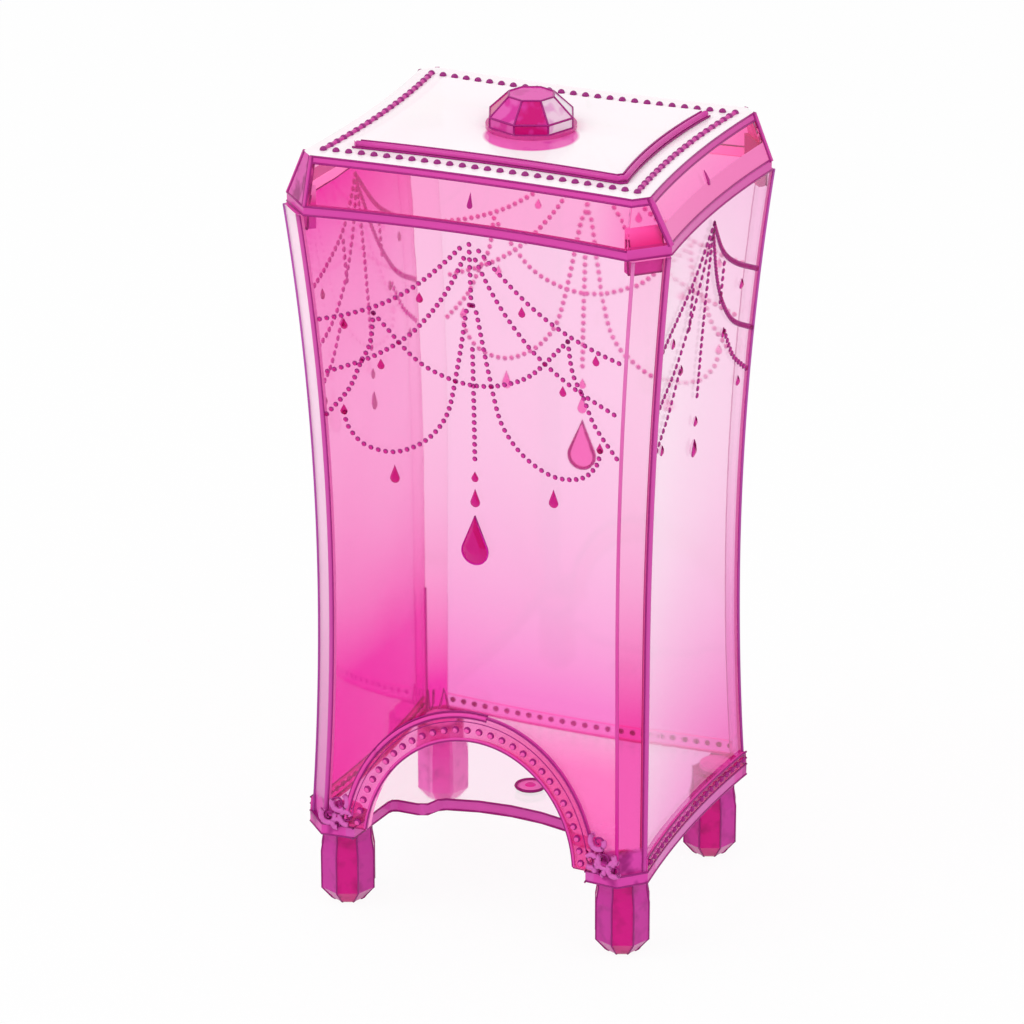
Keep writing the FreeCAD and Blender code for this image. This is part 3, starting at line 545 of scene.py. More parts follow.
def strung(knots, pitch):
    """Places at an even pitch along a smooth line through some points of a wall.

    The line is a Catmull-Rom curve: between two points it leaves and arrives along half
    the chord of their neighbours.
    """
    knots = np.asarray(knots, float)
    knots = np.vstack([2 * knots[0] - knots[1], knots, 2 * knots[-1] - knots[-2]])
    t = np.linspace(0, 1, 40, endpoint=False)[None, :, None]
    a, b, c, d = (knots[i:len(knots) - 3 + i][:, None] for i in range(4))
    line = 0.5 * (2 * b + (c - a) * t + (2 * a - 5 * b + 4 * c - d) * t ** 2
                  + (3 * b - a - 3 * c + d) * t ** 3)
    line = np.vstack([line.reshape(-1, 2), knots[-2]])
    run = np.concatenate([[0], np.cumsum(np.linalg.norm(np.diff(line, axis=0), axis=1))])
    places = np.linspace(0, run[-1], max(2, round(run[-1] / pitch) + 1))
    return np.stack([np.interp(places, run, line[:, i]) for i in range(2)], 1)


def ring_line(radius, level, count):
    """A level ring: radius times the cosine and sine of even turns."""
    turn = even_turns(count)
    return at_level(radius * np.cos(turn), radius * np.sin(turn), level)


def domes(spots, radius, height, sides=8):
    """Low domes: rings at 0, 45 and 90 degrees up an ellipse of the given radius and height,
    on a foot that goes 0.1 mm into what carries them. Spots as on_wall gives them."""
    centres, facing, running, rising = spots
    rings = [ring_line(radius * size, lift, sides)
             for size, lift in ((1.0, -0.1), (1.0, 0.0), (DIAGONAL, height * DIAGONAL))]
    form = np.vstack([*rings, (0.0, 0.0, height)])
    vertices = centres[:, None] + form @ np.stack([running, rising, facing], 1)
    low = np.arange(sides)
    high = (low + 1) % sides
    band = np.stack([low, high, high + sides, low + sides], 1)
    quads = np.vstack([band, band + sides])
    caps = np.stack([low + 2 * sides, high + 2 * sides, np.full(sides, 3 * sides)], 1)
    start = np.arange(len(centres))[:, None, None] * len(form)
    faces = (quads + start).reshape(-1, 4).tolist() + (caps + start).reshape(-1, 3).tolist()
    faces += (low[::-1] + start[:, 0]).tolist()
    return vertices.reshape(-1, 3), faces


BEAD_RADIUS, SIDE_BEAD_RADIUS, BEAD_HEIGHT = 0.72, 0.82, 0.5
BEAD_PITCH, CLOSE_PITCH = 2.0, 1.35
FAR_BEADS = {"back": (0.89, 0.31, 0.65), "left": (0.68, 0.005, 0.45)}
NEAR_BEADS = (0.34, 0.02, 0.21)
WIDE_STRINGS = [
    [(0.5, 176), (1.4, 174), (2.7, 166.5), (4.4, 157.5), (6.7, 147), (9.4, 141.4), (13.4, 136.9),
     (18.3, 133.8), (23, 132.4), (28, 132.9), (31.6, 134.7), (34.5, 138.5), (35.2, 142)],
    [(2.6, 191.2), (7.2, 186.4), (12.4, 181.5), (18.5, 176.7), (25.5, 172.6), (34.2, 169.1), (41, 167.2)],
    [(1.6, 188.6), (5.2, 181.3), (9.1, 175), (13.4, 169.5), (17.2, 165.5), (23, 161), (30, 156.9),
     (39.4, 152.9)],
    [(26.6, 170.4), (23, 166.5), (19.5, 162.6), (16, 159.3), (11.9, 156.8), (5.6, 154.6), (0.9, 154)],
    [(26.6, 170.4), (27.8, 162), (30.6, 156.1), (33.2, 149.8), (35.8, 146), (40, 141)]]
WIDE_MIDDLE = [[(0, 192.6), (0, 176)], [(0, 163.9), (0, 133.7)]]
SIDE_STRINGS = [
    [(0, 192), (8.9, 181.8), (18.9, 175.2), (33.4, 168.8)],
    [(0, 190), (6.4, 175.7), (12.7, 166.2), (21.2, 158.3), (33.5, 152.3)],
    [(16, 157), (20.7, 150.6), (24.2, 146.8), (31.8, 141.4)],
    [(11, 177.5), (11, 167)]]
SIDE_MIDDLE = [[(0, 192), (0, 144.8)]]
SIDE_HANDS = {"right": 1, "left": -1}       # the sign of x, and of the way to the back
for side in WALL_WAYS:
    bead_plastic = clear_plastic(side + " bead plastic", (0.70, 0.08, 0.43), (0.58, 0.05, 0.36),
                                 density=20.0, ior=1.15)
    # The near beads' rims are painted dark plum, a painted shade standing in for the dark edges of the clear
    # domes; the far beads are covered whole in pink with a painted glow.
    colour = FAR_BEADS.get(side, NEAR_BEADS)
    glow, edge_limit = (0.25, 1.1) if side in FAR_BEADS else (0.0, 0.85)
    paint_edges(bead_plastic, glow, colour, colour, Facing=WALL_AXES[side], Edge_Limit=edge_limit)
    middle, strings, radius = ((WIDE_MIDDLE, WIDE_STRINGS, BEAD_RADIUS) if side in WIDE_SIDES else
                               (SIDE_MIDDLE, SIDE_STRINGS, SIDE_BEAD_RADIUS))
    places = [strung(line, BEAD_PITCH) for line in middle]
    for line in strings:
        for hand in (-1, 1):
            close = hand == SIDE_HANDS.get(side) and line[0][0] == 0
            places.append(strung(np.multiply(line, (hand, 1)), CLOSE_PITCH if close else BEAD_PITCH))
    beads = domes(on_wall(side, *np.vstack(places).T), radius, BEAD_HEIGHT)
    carry(side + "_bead_strings", [beads], bead_plastic)

# ------------------------------
# Crystal drops. Pear-shaped flat-backed stones of deep pink clear plastic, faceted
# round a flat table and cemented at the ends of the strings.
NEAR_DROPS = (0.66, 0.04, 0.32), (0.54, 0.02, 0.27)
DROP_DYES = {"front": NEAR_DROPS, "back": ((0.95, 0.26, 0.60), (0.90, 0.20, 0.54)),
             "left": ((0.58, 0.0, 0.36), (0.48, 0.0, 0.30)), "right": NEAR_DROPS}
for side, (pale, deep) in DROP_DYES.items():
    plastic = clear_plastic(side + " drop plastic", pale, deep, density=40.0, ior=1.2,
                            dye=dict(Foot_Share=0.4, Cloud=1.0), skin=dict(Gloss=0.03, Smudge=0.05))
    # The left drops are covered in deep pink with a painted glow.
    if side == "left":
        cover(plastic, 0.85, pale, deep, 0.15)
    # The drops' rim faces are painted dark, a painted shade standing in for the dark edges of the clear
    # stones; the back drops' rim is paler with a painted glow.
    girdle, glow = ((0.52, 0.03, 0.32), 0.1) if side == "back" else ((0.36, 0.02, 0.22), 0.0)
    paint_edges(plastic, glow, girdle, girdle, Facing=WALL_AXES[side], Edge_Limit=0.55)
    dress(side + "_wall_drops", plastic)
DROP_WIDTH, DROP_LENGTH, DROP_LEVEL = 7.2, 13.4, RIM_LEVEL - 83.9


def drop_line(side, out):
    """The big drop's outline: most of a circle, and the point at the top that its flanks run
    to; they leave the circle at the arc sine of radius / reach."""
    radius = DROP_WIDTH / 2
    turn_off = math.asin(radius / (DROP_LENGTH - radius))
    turn = np.linspace(turn_off, -math.pi - turn_off, 24)
    along = np.append(radius * np.cos(turn), 0.0)
    up = np.append(radius * np.sin(turn) - DROP_LENGTH / 2 + radius, DROP_LENGTH / 2)
    return on_wall(side, along, DROP_LEVEL + up, out)[0]


# Deep pink outlines with a painted glow round the big front and back drops, painted shade standing in for
# their dark edges.
carry("drop_outlines", [tube(drop_line("front", 0.75), 0.22, closed=True),
                        tube(drop_line("back", 0.35), 0.5, closed=True)], run_pink)
dress("lid_drops", solid_plastic("lid drop plastic", (0.44, 0.01, 0.22), (0.36, 0.008, 0.18)))

# ------------------------------
# Arch moulding. A raised band of pink plastic cemented round the mouth, set with half
# beads, and ending in three leaves at each foot.
arch_plastic = clear_plastic("arch band plastic", (1.0, 0.62, 0.84), (0.97, 0.40, 0.72), density=10.0,
                             dye=dict(Foot_Share=0.4, Cloud=0.8))
# The band's edges are covered in lilac with a painted glow, standing in for the light the band leads to them.
dress("arch_band", paint_edges(arch_plastic, 0.1, Facing=ACROSS, Edge_Limit=0.35))
DARK_PLUM = (0.34, 0.012, 0.19)
arch_bead_plastic = clear_plastic("arch bead plastic", (0.95, 0.36, 0.68), (0.92, 0.28, 0.62), density=10.0,
                                  ior=1.1)
# The arch beads are covered in deep pink with a painted glow, and their rims in dark plum, a painted shade
# standing in for the dark edges of the clear domes.
cover(arch_bead_plastic, 0.7, (0.90, 0.14, 0.50), (0.82, 0.08, 0.42), 0.15)
dress("arch_beads", paint_edges(arch_bead_plastic, 0.0, DARK_PLUM, DARK_PLUM, Facing=ACROSS, Edge_Limit=0.74))
ARCH_HALF, ARCH_RISE, ARCH_BAND, ARCH_SEAT = 29.5, 32.3, 6.2, 1.35


def arch_line(outset, start, end, out=ARCH_SEAT):
    """Points along the arch, from one turn in degrees to another, 0 being its right foot:
    (half + outset) * cos and (rise + 1.2 * outset) * sin, laid on the front wall."""
    turn = np.radians(np.linspace(start, end, 60))
    along = (ARCH_HALF + outset) * np.cos(turn)
    level = FLOOR_LEVEL + (ARCH_RISE + 1.2 * outset) * np.sin(turn)
    return on_wall("front", along, level, out)[0]


hot_pink = solid_plastic("hot pink", (0.80, 0.06, 0.40), (0.70, 0.04, 0.36), foot_share=0.3)
# Dark lines along the arch band's edges, painted shade standing in for their dark outlines.
carry("arch_lines", [tube(arch_line(0.1, 6, 174)), tube(arch_line(4.5, 8, 172), 0.13),
                     tube(arch_line(ARCH_BAND - 0.1, 6, 100)),
                     tube(arch_line(ARCH_BAND + 0.45, 84, 172, ARCH_SEAT - 0.6)),
                     tube(arch_line(ARCH_BAND - 0.75, 84, 172))], outline_pink)
# Painted highlight: a hot pink roll along the outer edge of the arch's left half stands in for the light
# along that edge; a thinner one runs along the inner edge.
carry("arch_roll", [tube(arch_line(ARCH_BAND - 0.15, 84, 172), 0.5, sides=8),
                    tube(arch_line(0.5, 6, 174), 0.32, sides=8)], hot_pink)
SCROLL_TURNS, SCROLL_POINTS = 1.4, 26


def scroll(along, level, size, hand, start):
    """A curl on the front wall: radius = size * (1 - 0.8 * share), turning one way or the
    other from the start angle by so many turns as the share goes from 0 to 1."""
    share = np.linspace(0, 1, SCROLL_POINTS)
    radius = size * (1 - 0.8 * share)
    turn = start + hand * 2 * np.pi * SCROLL_TURNS * share
    return on_wall("front", along + radius * np.cos(turn), level + radius * np.sin(turn), ARCH_SEAT)[0]


SCROLLS = [(36.6, 34.5, 2.6, 1, 2.2), (38.6, 30.0, 2.9, -1, 0.6), (34.6, 29.2, 2.2, 1, 4.2),
           (41.6, 27.6, 2.4, 1, 1.2), (37.4, 26.6, 1.7, -1, 3.4), (-37.4, 32.4, 2.8, -1, 1.0),
           (-39.8, 28.4, 2.4, 1, 2.4), (-35.0, 28.6, 2.2, -1, 5.0), (-37.6, 26.4, 1.6, 1, 0.4)]
curls = [scroll(*curl) for curl in SCROLLS]
carry("arch_scrolls", [tube(curl) for curl in curls], outline_pink)
carry("arch_scroll_backs", [tube(curl[:SCROLL_POINTS // 2 + 1], 0.75, sides=8) for curl in curls],
      solid_plastic("scroll lilac", (0.72, 0.16, 0.52), (0.60, 0.08, 0.42)))

# ------------------------------
# Floor plate. A nearly colourless slab with a flange all round, a finger notch in
# front and the disc that the moulding gate left; skirtings stand on its flange.
floor_plastic = clear_plastic("floor plastic", (1.0, 0.95, 0.975), (1.0, 0.93, 0.965), density=6.0)
# The flange's edges are covered in lilac with a painted glow, standing in for the light the plate leads to
# them.
paint_edges(floor_plastic, 0.08, (0.66, 0.11, 0.44), (0.60, 0.07, 0.40), Facing=UPWARD)
cover(floor_plastic, low_corners(floor_plastic), *CORNER_LUMPS)
dress("floor_plate", floor_plastic)
SIDE_SKIRTING = (0.95, 0.45, 0.78), (0.90, 0.30, 0.66), LILAC, 0.15
BACK_SKIRTING = (1.0, 0.90, 0.96), (0.97, 0.80, 0.92), (0.90, 0.42, 0.72), 0.3
for side in ("right", "back", "left"):
    # Each skirting's ends and top are covered in its edge colour with a painted glow, standing in for the
    # light it leads to them.
    pale, deep, edge, glow = BACK_SKIRTING if side == "back" else SIDE_SKIRTING
    plastic = clear_plastic(side + " skirting plastic", pale, deep, density=10.0, ior=1.2,
                            dye=dict(Foot_Share=0.3, Cloud=0.6))
    dress(side + "_skirting", paint_edges(plastic, glow, edge, edge, Facing=WALL_AXES[side]))
skirting_bead_plastic = clear_plastic("skirting bead plastic", (0.60, 0.04, 0.36), (0.52, 0.03, 0.32),
                                      density=20.0, ior=1.1, dye=dict(Foot_Share=0.3))
# The skirting beads are covered in deep pink with a painted glow.
cover(skirting_bead_plastic, 0.7, (0.50, 0.02, 0.30), (0.42, 0.02, 0.26), 0.1)
dress("skirting_beads", skirting_bead_plastic)
FLANGE = 0.9
NOTCH = [(33.0, 0.0), (31.0, 18.6), (30.4, 20.0), (29.0, 20.6), (23.4, 20.6), (20.9, 21.6), (19.4, 25.0),
         (17.5, 26.4), (9.0, 28.5), (0.0, 29.2)]
SKIRTING_OUT, SKIRTING_LEVELS = 0.95, (29.5, 27.7)
flange = np.array(case_sizes(FLOOR_TOP), float) + [FLANGE, FLANGE, FLANGE * (2 - math.sqrt(2)), 0.0, 0.0]
notch = np.vstack([np.multiply(NOTCH, (-1, 1)), NOTCH[-2::-1]]) - [0.0, flange[1]]
beside_notch = np.array([33.0, 36.0, 39.0, half_length("front", flange)])
# Dark lines round the floor plate's edges and notch and along two skirtings, painted shade standing in for
# their dark outlines.
lines = []
for level in (FLOOR_LEVEL, FLOOR_TOP):
    lines.append(tube(at_level(*notch.T, level)))
    for side, hand in SIDE_HANDS.items():
        to_back = hand * half_length(side, flange) * np.linspace(-1, 1, 24)
        lines.append(tube(np.vstack([side_line("front", flange, hand * beside_notch, level),
                                     side_line(side, flange, to_back, level)])))
for side in SIDE_HANDS:
    lines += [tube(on_wall(side, np.linspace(-36.0, 36.0, 24), level, SKIRTING_OUT)[0])
              for level in SKIRTING_LEVELS]
carry("floor_edge_lines", lines, outline_pink)

GATE_TOP, GATE_RADIUS = 26.2, 3.9
carry("gate_ring", [tube(ring_line(GATE_RADIUS, GATE_TOP, 32), 0.4, closed=True)], outline_pink)
gate_middle = np.array([[0.0, 0.0, GATE_TOP]]), *np.eye(3)[[2, 0, 1], None]
rose = solid_plastic("gate rose", (0.92, 0.34, 0.68), (0.85, 0.25, 0.60))
carry("gate_disc", [domes(gate_middle, GATE_RADIUS - 0.2, 0.2, sides=24)], rose)
carry("gate_core", [domes(gate_middle, 1.7, 0.5, sides=24)], hot_pink)

# ------------------------------
# Feet. Eight-sided posts cast in thick dark pink plastic, each plugged into the floor
# by its spigot.
MOTTLED = dict(Foot_Share=0.0, Cloud=3.0, Grain=240.0)
FLECKED = dict(Foot_Share=0.0, Cloud=9.0, Grain=190.0)


def facet_mask(sheet):
    """0 to 1 from one side of an eight-sided form to the next: 0.5 + 2 nx ny (nx^2 - ny^2),
    from the normal with its height left out, which is 0.5 + 0.5 sin of four times its turn."""
    level = sheet.add("ShaderNodeVectorMath", sheet.normal(), (1, 1, 0), operation="MULTIPLY")
    x, y, _ = sheet.split(sheet.add("ShaderNodeVectorMath", level, operation="NORMALIZE"))
    across = sheet.maths("SUBTRACT", sheet.times(x, x), sheet.times(y, y))
    return sheet.maths("MULTIPLY_ADD", sheet.times(x, y, across), 2.0, 0.5, clamp=True)


def faceted(material, share, sides, corners, glow, dark=None, dye=MOTTLED):
    """Covers a clear eight-sided form with painted light and shade: every second side in one colour,
    the rest in another, standing in for the way the facets catch the light, each mottled with a
    darker tone of itself, or with the dark colour if one is given."""
    sheet = Sheet(material.node_tree)
    turn = facet_mask(sheet)
    for mask, colour in ((turn, sides), (sheet.flipped(turn), corners)):
        darker = dark or [0.6 * part for part in colour]
        cover(material, sheet.times(mask, share), colour, darker, glow, dye=dye)


# Facet colours, painted light and shade: the far foot at the back left takes paler colours and more painted
# glow than the near feet.
NEAR_FOOT = 0.88, (0.64, 0.003, 0.23), (0.58, 0.035, 0.35), 0.05
FAR_FOOT = 0.9, (0.78, 0.09, 0.48), (0.84, 0.22, 0.60), 0.12
SPIGOT_LEVEL = 0.0228
for corner in CORNERS:
    plastic = clear_plastic("foot plastic " + corner.replace("_", " "), (0.84, 0.10, 0.52),
                            (0.76, 0.06, 0.46), inside=(0.85, 0.15, 0.5), density=70.0, ior=1.3,
                            wobble=0.0002, dye=dict(Foot_Share=0.6, Cloud=1.2))
    faceted(plastic, *(FAR_FOOT if corner == "back_left" else NEAR_FOOT))
    sheet, _, _, z = place_of(plastic)
    # The spigot is covered in pink with a painted glow.
    spigot = sheet.maths("GREATER_THAN", z, SPIGOT_LEVEL)
    cover(plastic, spigot, (0.80, 0.24, 0.58), (0.62, 0.09, 0.44), 0.2, dye=MOTTLED)
    dress("foot_" + corner, plastic)
FOOT_PLACE = 39.3, 31.7
FOOT_PROFILE = [(3.4, 0.05), (4.3, 0.8), (6.9, 4.2), (6.9, 15.0), (6.3, 18.8), (6.3, 22.7)]
across_flats, level = np.transpose(FOOT_PROFILE)
# Painted shade: dark lines up the eight edges of three feet stand in for the dark outlines of the clear
# posts.
edges = []
for corner in ("front_left", "front_right", "back_right"):
    centre = np.multiply(CORNERS[corner], FOOT_PLACE)[:, None]
    for turn in even_turns(8):
        out = across_flats / math.cos(math.pi / 8) * [[math.cos(turn)], [math.sin(turn)]]
        edges.append(tube(at_level(*(centre + out), level), 0.25, sides=5))
carry("foot_edges", edges, outline_pink)

# ------------------------------
# Lid. A hollow hipped cover in one moulding: upright rim, four slopes, a flat top with
# a raised panel; tabs under its corners keep it on the case, beads frame the panel.
lid_plastic = clear_plastic("lid plastic", (1.0, 0.55, 0.78), (1.0, 0.22, 0.58), density=8.0,
                            dye=dict(Foot_Share=1.0, Foot_Power=0.0, Left_Share=-6.0, Cloud=0.1))
TOP_PAINT_LEVEL, TOP_HIGHLIGHT_COVER = 0.2099, 0.9
CUP_IMAGE_CENTRE, CUP_IMAGE_RADIUS = (0.0030, -0.0072), 0.0122
FACET_LIMIT = -0.35
BANDS_ONLY = dict(Facing=(0, 0, 0), Edge_Limit=-1.0)
sheet, x, y, z = place_of(lid_plastic)
normal = sheet.normal()
to_right, to_back, _ = sheet.split(normal)
level_place = sheet.add("ShaderNodeCombineXYZ", x, y, 0.0)
outward = sheet.maths("GREATER_THAN", sheet.dot(normal, level_place), 0.0)
inward = sheet.flipped(outward)
outside = sheet.flipped(sheet.add("ShaderNodeNewGeometry", output=6))
bands = placed(sheet, RIM, Band_Low=0.1953, Band_High=0.1978, Upper_Low=0.2085, Upper_High=0.2113,
               Right_Lift=0.0005, **BANDS_ONLY)["Mask"]
right_foot = placed(sheet, RIM, Band_Low=0.1982, Band_High=0.1978, Right_Lift=0.0056, **BANDS_ONLY)["Mask"]
on_top = sheet.maths("GREATER_THAN", z, TOP_PAINT_LEVEL)
# Painted refraction: a pink disc on the top, its centre shifted to the front right of the knob, stands in for
# the cup as seen through the clear top from the front.
squares = []
for along, centre in zip((x, y), CUP_IMAGE_CENTRE):
    share = sheet.maths("DIVIDE", sheet.maths("SUBTRACT", along, centre), CUP_IMAGE_RADIUS)
    squares.append(sheet.maths("POWER", share, 2.0))
painted_cup_image = sheet.ramp(sheet.maths("ADD", *squares), 0.9, 1.05, 1.0, 0.0)
right_slope = sheet.times(outside, sheet.maths("GREATER_THAN", to_right, 0.8))
facet = sheet.times(*(sheet.maths("LESS_THAN", way, FACET_LIMIT) for way in (to_right, to_back)))
# Painted highlight: the flat top is covered nearly white, standing in for the bright reflection of the light
# above.
cover(lid_plastic, sheet.times(on_top, TOP_HIGHLIGHT_COVER), (1.0, 0.975, 0.985), (0.97, 0.90, 0.945),
      dye=dict(Foot_Share=0.0, Cloud=1.6))
cover(lid_plastic, sheet.times(on_top, painted_cup_image), (0.84, 0.13, 0.48), (0.66, 0.05, 0.36), dye=MOTTLED)
# Painted light: the rim and top-edge bands are covered in pale pink with a painted glow on their inner faces
# and in lilac on their outer faces, and the foot of the right slope in deep pink with a painted glow,
# standing in for the light the clear plastic leads along them.
cover(lid_plastic, sheet.times(bands, inward), (0.98, 0.48, 0.74), (0.96, 0.40, 0.68), 0.4)
cover(lid_plastic, sheet.times(right_foot, right_slope), (0.84, 0.17, 0.46), (0.80, 0.13, 0.42), 0.08)
# The front left corner facet is covered in dark flecked magenta, and the inner face of the back right corner
# facet in magenta with a painted glow.
cover(lid_plastic, sheet.times(facet, outward, 0.92), (0.68, 0.07, 0.40), (0.34, 0.008, 0.18), dye=FLECKED)
cover(lid_plastic, sheet.times(facet, inward), (0.76, 0.02, 0.40), (0.62, 0.005, 0.30), 0.25, dye=MOTTLED)
cover(lid_plastic, sheet.times(bands, outward), LILAC, DEEP_LILAC, 0.05)
dress("lid_shell", lid_plastic)

FADE_START, FADE_END = 0.1976, 0.2016
# The tabs carry a painted glow; their colour fades to pale pink towards the top.
tab_plastic = solid_plastic("tab plastic", (0.68, 0.02, 0.38), (0.54, 0.01, 0.26), glow=0.12)
sheet, _, _, z = place_of(tab_plastic)
shader = sheet.tree.nodes["Principled BSDF"]
faded = sheet.mixed(sheet.ramp(z, FADE_START, FADE_END), shader.inputs["Base Color"].links[0].from_socket,
                    (0.97, 0.60, 0.86, 1))
sheet.fill(shader, Base_Color=faded, Emission_Color=faded)
# The back right tab takes a deeper copy of the tab plastic, with a painted glow and no specular.
deep_tab_plastic = solid_plastic("deep tab plastic", (0.56, 0.003, 0.28), (0.46, 0.002, 0.22), glow=0.1)
deep_tab_plastic.node_tree.nodes["Principled BSDF"].inputs["Specular IOR Level"].default_value = 0.0
for corner in CORNERS:
    dress("lid_tab_" + corner, deep_tab_plastic if corner == "back_right" else tab_plastic)
dress("lid_beads", solid_plastic("lid bead plastic", (0.32, 0.02, 0.20), (0.26, 0.012, 0.17)))
LID_BOTTOM, LID_SHOULDER, LID_TOP, PANEL_TOP = 195.45, 197.85, 210.0, 211.4
LID_BAND_LEVEL, RIGHT_BAND_LEVEL = 208.4, 198.35
SHOULDER_SIZES = np.array([52.45, 43.85, 8.6, 3.3, SIDE_BOW])
TOP_SIZES = np.array([47.05, 39.85, 3.5, 1.6, SIDE_BOW])
PANEL_SIZES = np.array([36.85, 29.05, 1.2, 1.6, SIDE_BOW])
SIDE_POINTS, PANEL_BAR = 16, 0.85
FRONT_AND_RIGHT = slice(0, 2 * SIDE_POINTS)


def plan_line(sizes, level):
    """The closed eight-sided outline at one height, from the front to the left; straight cuts
    join the sides. Sizes in the order that case_sizes gives."""
    share = np.linspace(-1, 1, SIDE_POINTS)
    return np.vstack([side_line(side, sizes, share * half_length(side, sizes), level) for side in WALL_WAYS])


def lid_sizes(level):
    """The lid's sizes, in the order that case_sizes gives: an even taper above the shoulder."""
    share = max(0.0, (level - LID_SHOULDER) / (LID_TOP - LID_SHOULDER))
    return SHOULDER_SIZES + (TOP_SIZES - SHOULDER_SIZES) * share


def lid_line(level):
    """The lid's outline at one height."""
    return plan_line(lid_sizes(level), level)


# Dark lines along the lid's rim, shoulder, band, top and panel edges, painted shade standing in for their
# dark outlines.
all_but_right = np.roll(lid_line(LID_SHOULDER), 2 * SIDE_POINTS, 0)[:3 * SIDE_POINTS]
lines = [tube(lid_line(LID_BOTTOM + 0.1), closed=True), tube(all_but_right),
         tube(lid_line(RIGHT_BAND_LEVEL)[SIDE_POINTS:2 * SIDE_POINTS]),
         tube(lid_line(LID_BAND_LEVEL)[FRONT_AND_RIGHT]), tube(lid_line(LID_TOP)[FRONT_AND_RIGHT])]
for spread, level in ((PANEL_BAR, LID_TOP + 0.3), (-PANEL_BAR, PANEL_TOP + 0.35)):
    lines.append(tube(plan_line(PANEL_SIZES + [spread, spread, 0, 0, 0], level)[FRONT_AND_RIGHT]))
carry("lid_edge_lines", lines, outline_pink, "lid")
TAB_HALF, TAB_LEVELS = 4.5, (200.0, 197.0, 191.3)
DEPTH_IN_LID, DEPTH_IN_CASE = 2.3, 2.4
# Dark lines along the edges of three tabs, painted shade standing in for their dark outlines.
rims = []
for corner in ("front_right", "front_left", "back_right"):
    hand_x, hand_y = CORNERS[corner]
    away, beside = np.array([[hand_x, hand_y, 0.0], [-hand_y, hand_x, 0.0]]) * DIAGONAL
    middle = []
    for level in TAB_LEVELS:
        sizes, depth = ((lid_sizes(level), DEPTH_IN_LID) if level > LID_BOTTOM else
                        (case_sizes(level), DEPTH_IN_CASE))
        middle.append(on_facet(corner, 0.5, sizes, level) - away * depth)
    sides = [np.array(middle) + hand * TAB_HALF * beside for hand in (-1, 1)]
    rims += [tube(line, 0.25) for line in (*sides, [side[-1] for side in sides])]
carry("lid_tab_edges", rims, outline_pink, "lid")
HIPS = {"front_right": ((1, 0.75),), "front_left": ((0, 0.5), (1, 0.5)),
        "back_right": ((1, 0.7), (0, 0.3)), "back_left": ((0, 0.3), (1, 0.3))}
hips, outlines = [], []
for corner, edges in HIPS.items():
    for on_side, radius in edges:
        low, high = (on_facet(corner, on_side, lid_sizes(level), level) for level in (LID_SHOULDER, LID_TOP))
        line = np.linspace(low, high, 8)
        roll, flanks = rolled(corner, on_side, line, radius, sink=0.996, gap=0.1, fine=LINE_RADIUS)
        hips.append(roll)
        outlines += flanks
# Painted light: lilac rolls along the hips and the panel's front and right edges stand in for the bright
# bands the clear plastic shows along them; the dark lines at the hips' flanks are painted shade for their
# outlines.
hip_pink = solid_plastic("hip pink", LILAC, DEEP_LILAC, foot_share=0.2)
carry("lid_hips", hips, hip_pink, "lid")
carry("lid_hip_outlines", outlines, outline_pink, "lid")
panel_bar = tube(plan_line(PANEL_SIZES, PANEL_TOP - 0.35)[FRONT_AND_RIGHT], PANEL_BAR, sides=8)
carry("panel_bars", [panel_bar], hip_pink, "lid")
ROW_SIZES = 42.65, 34.0, 0.0, 0.0, SIDE_BOW
along_row = np.linspace(-ROW_SIZES[1], ROW_SIZES[1], 40)
cords = [tube(side_line(side, ROW_SIZES, along_row, LID_TOP + 0.15), 0.62, sides=8)
         for side in SIDE_HANDS]
carry("lid_bead_cords", cords, hip_pink, "lid")

# ------------------------------
# Knob. A gem of deep pink clear plastic cemented in a paler round cup, which is let
# into the middle of the lid.
cup_plastic = clear_plastic("cup plastic", (0.98, 0.35, 0.68), (0.95, 0.3, 0.65), density=30.0, ior=1.25)
cover(cup_plastic, 0.7, (0.80, 0.10, 0.45), (0.62, 0.04, 0.34), dye=MOTTLED)
dress("knob_cup", cup_plastic)
gem_plastic = clear_plastic("gem plastic", (0.96, 0.22, 0.58), (0.93, 0.16, 0.52), density=30.0,
                            skin=dict(Gloss=0.01, Smudge=0.02))
# The gem's facets take painted light and shade, crimson and pink by turns.
faceted(gem_plastic, 0.95, (0.56, 0.002, 0.17), (0.72, 0.10, 0.43), 0.05, (0.64, 0.03, 0.32), FLECKED)
sheet = Sheet(gem_plastic.node_tree)
normal = sheet.normal()
# Painted light and shade: faces looking up are covered darker against the light from above, and those looking
# to the right nearly white, a painted highlight.
GEM_LIGHT_AND_SHADE = [(UPWARD, 0.9, 0.95, (0.74, 0.03, 0.40), (0.62, 0.01, 0.32)),
             ((0.94, 0.34, 0.0), 0.35, 0.6, (0.88, 0.80, 0.86), (0.80, 0.50, 0.74))]
for facing, start, end, pale, deep in GEM_LIGHT_AND_SHADE:
    painted = sheet.ramp(sheet.dot(normal, facing), start, end, 0.0, 0.92)
    cover(gem_plastic, painted, pale, deep, gloss=0.05, dye=FLECKED)
dress("gem_knob", gem_plastic)
# Dark lines along the gem's rings and edges, painted shade standing in for the dark outlines of its facets.
GEM_BASE, GEM_LINE = 212.4, 0.28
rings = [ring_line(size, GEM_BASE + rise, 8) for size, rise in ((11.4, 0.0), (11.4, 2.6), (6.2, 7.6))]
lines = []
for ring in rings:
    line = np.linspace(ring, np.roll(ring, -1, 0), 6, endpoint=False, axis=1).reshape(-1, 3)
    lines.append(tube(line, GEM_LINE, closed=True))
for low_ring, high_ring in zip(rings, rings[1:]):
    lines += [tube(np.linspace(*ends, 4), GEM_LINE) for ends in zip(low_ring, high_ring)]
carry("gem_edges", lines, outline_pink, "lid")

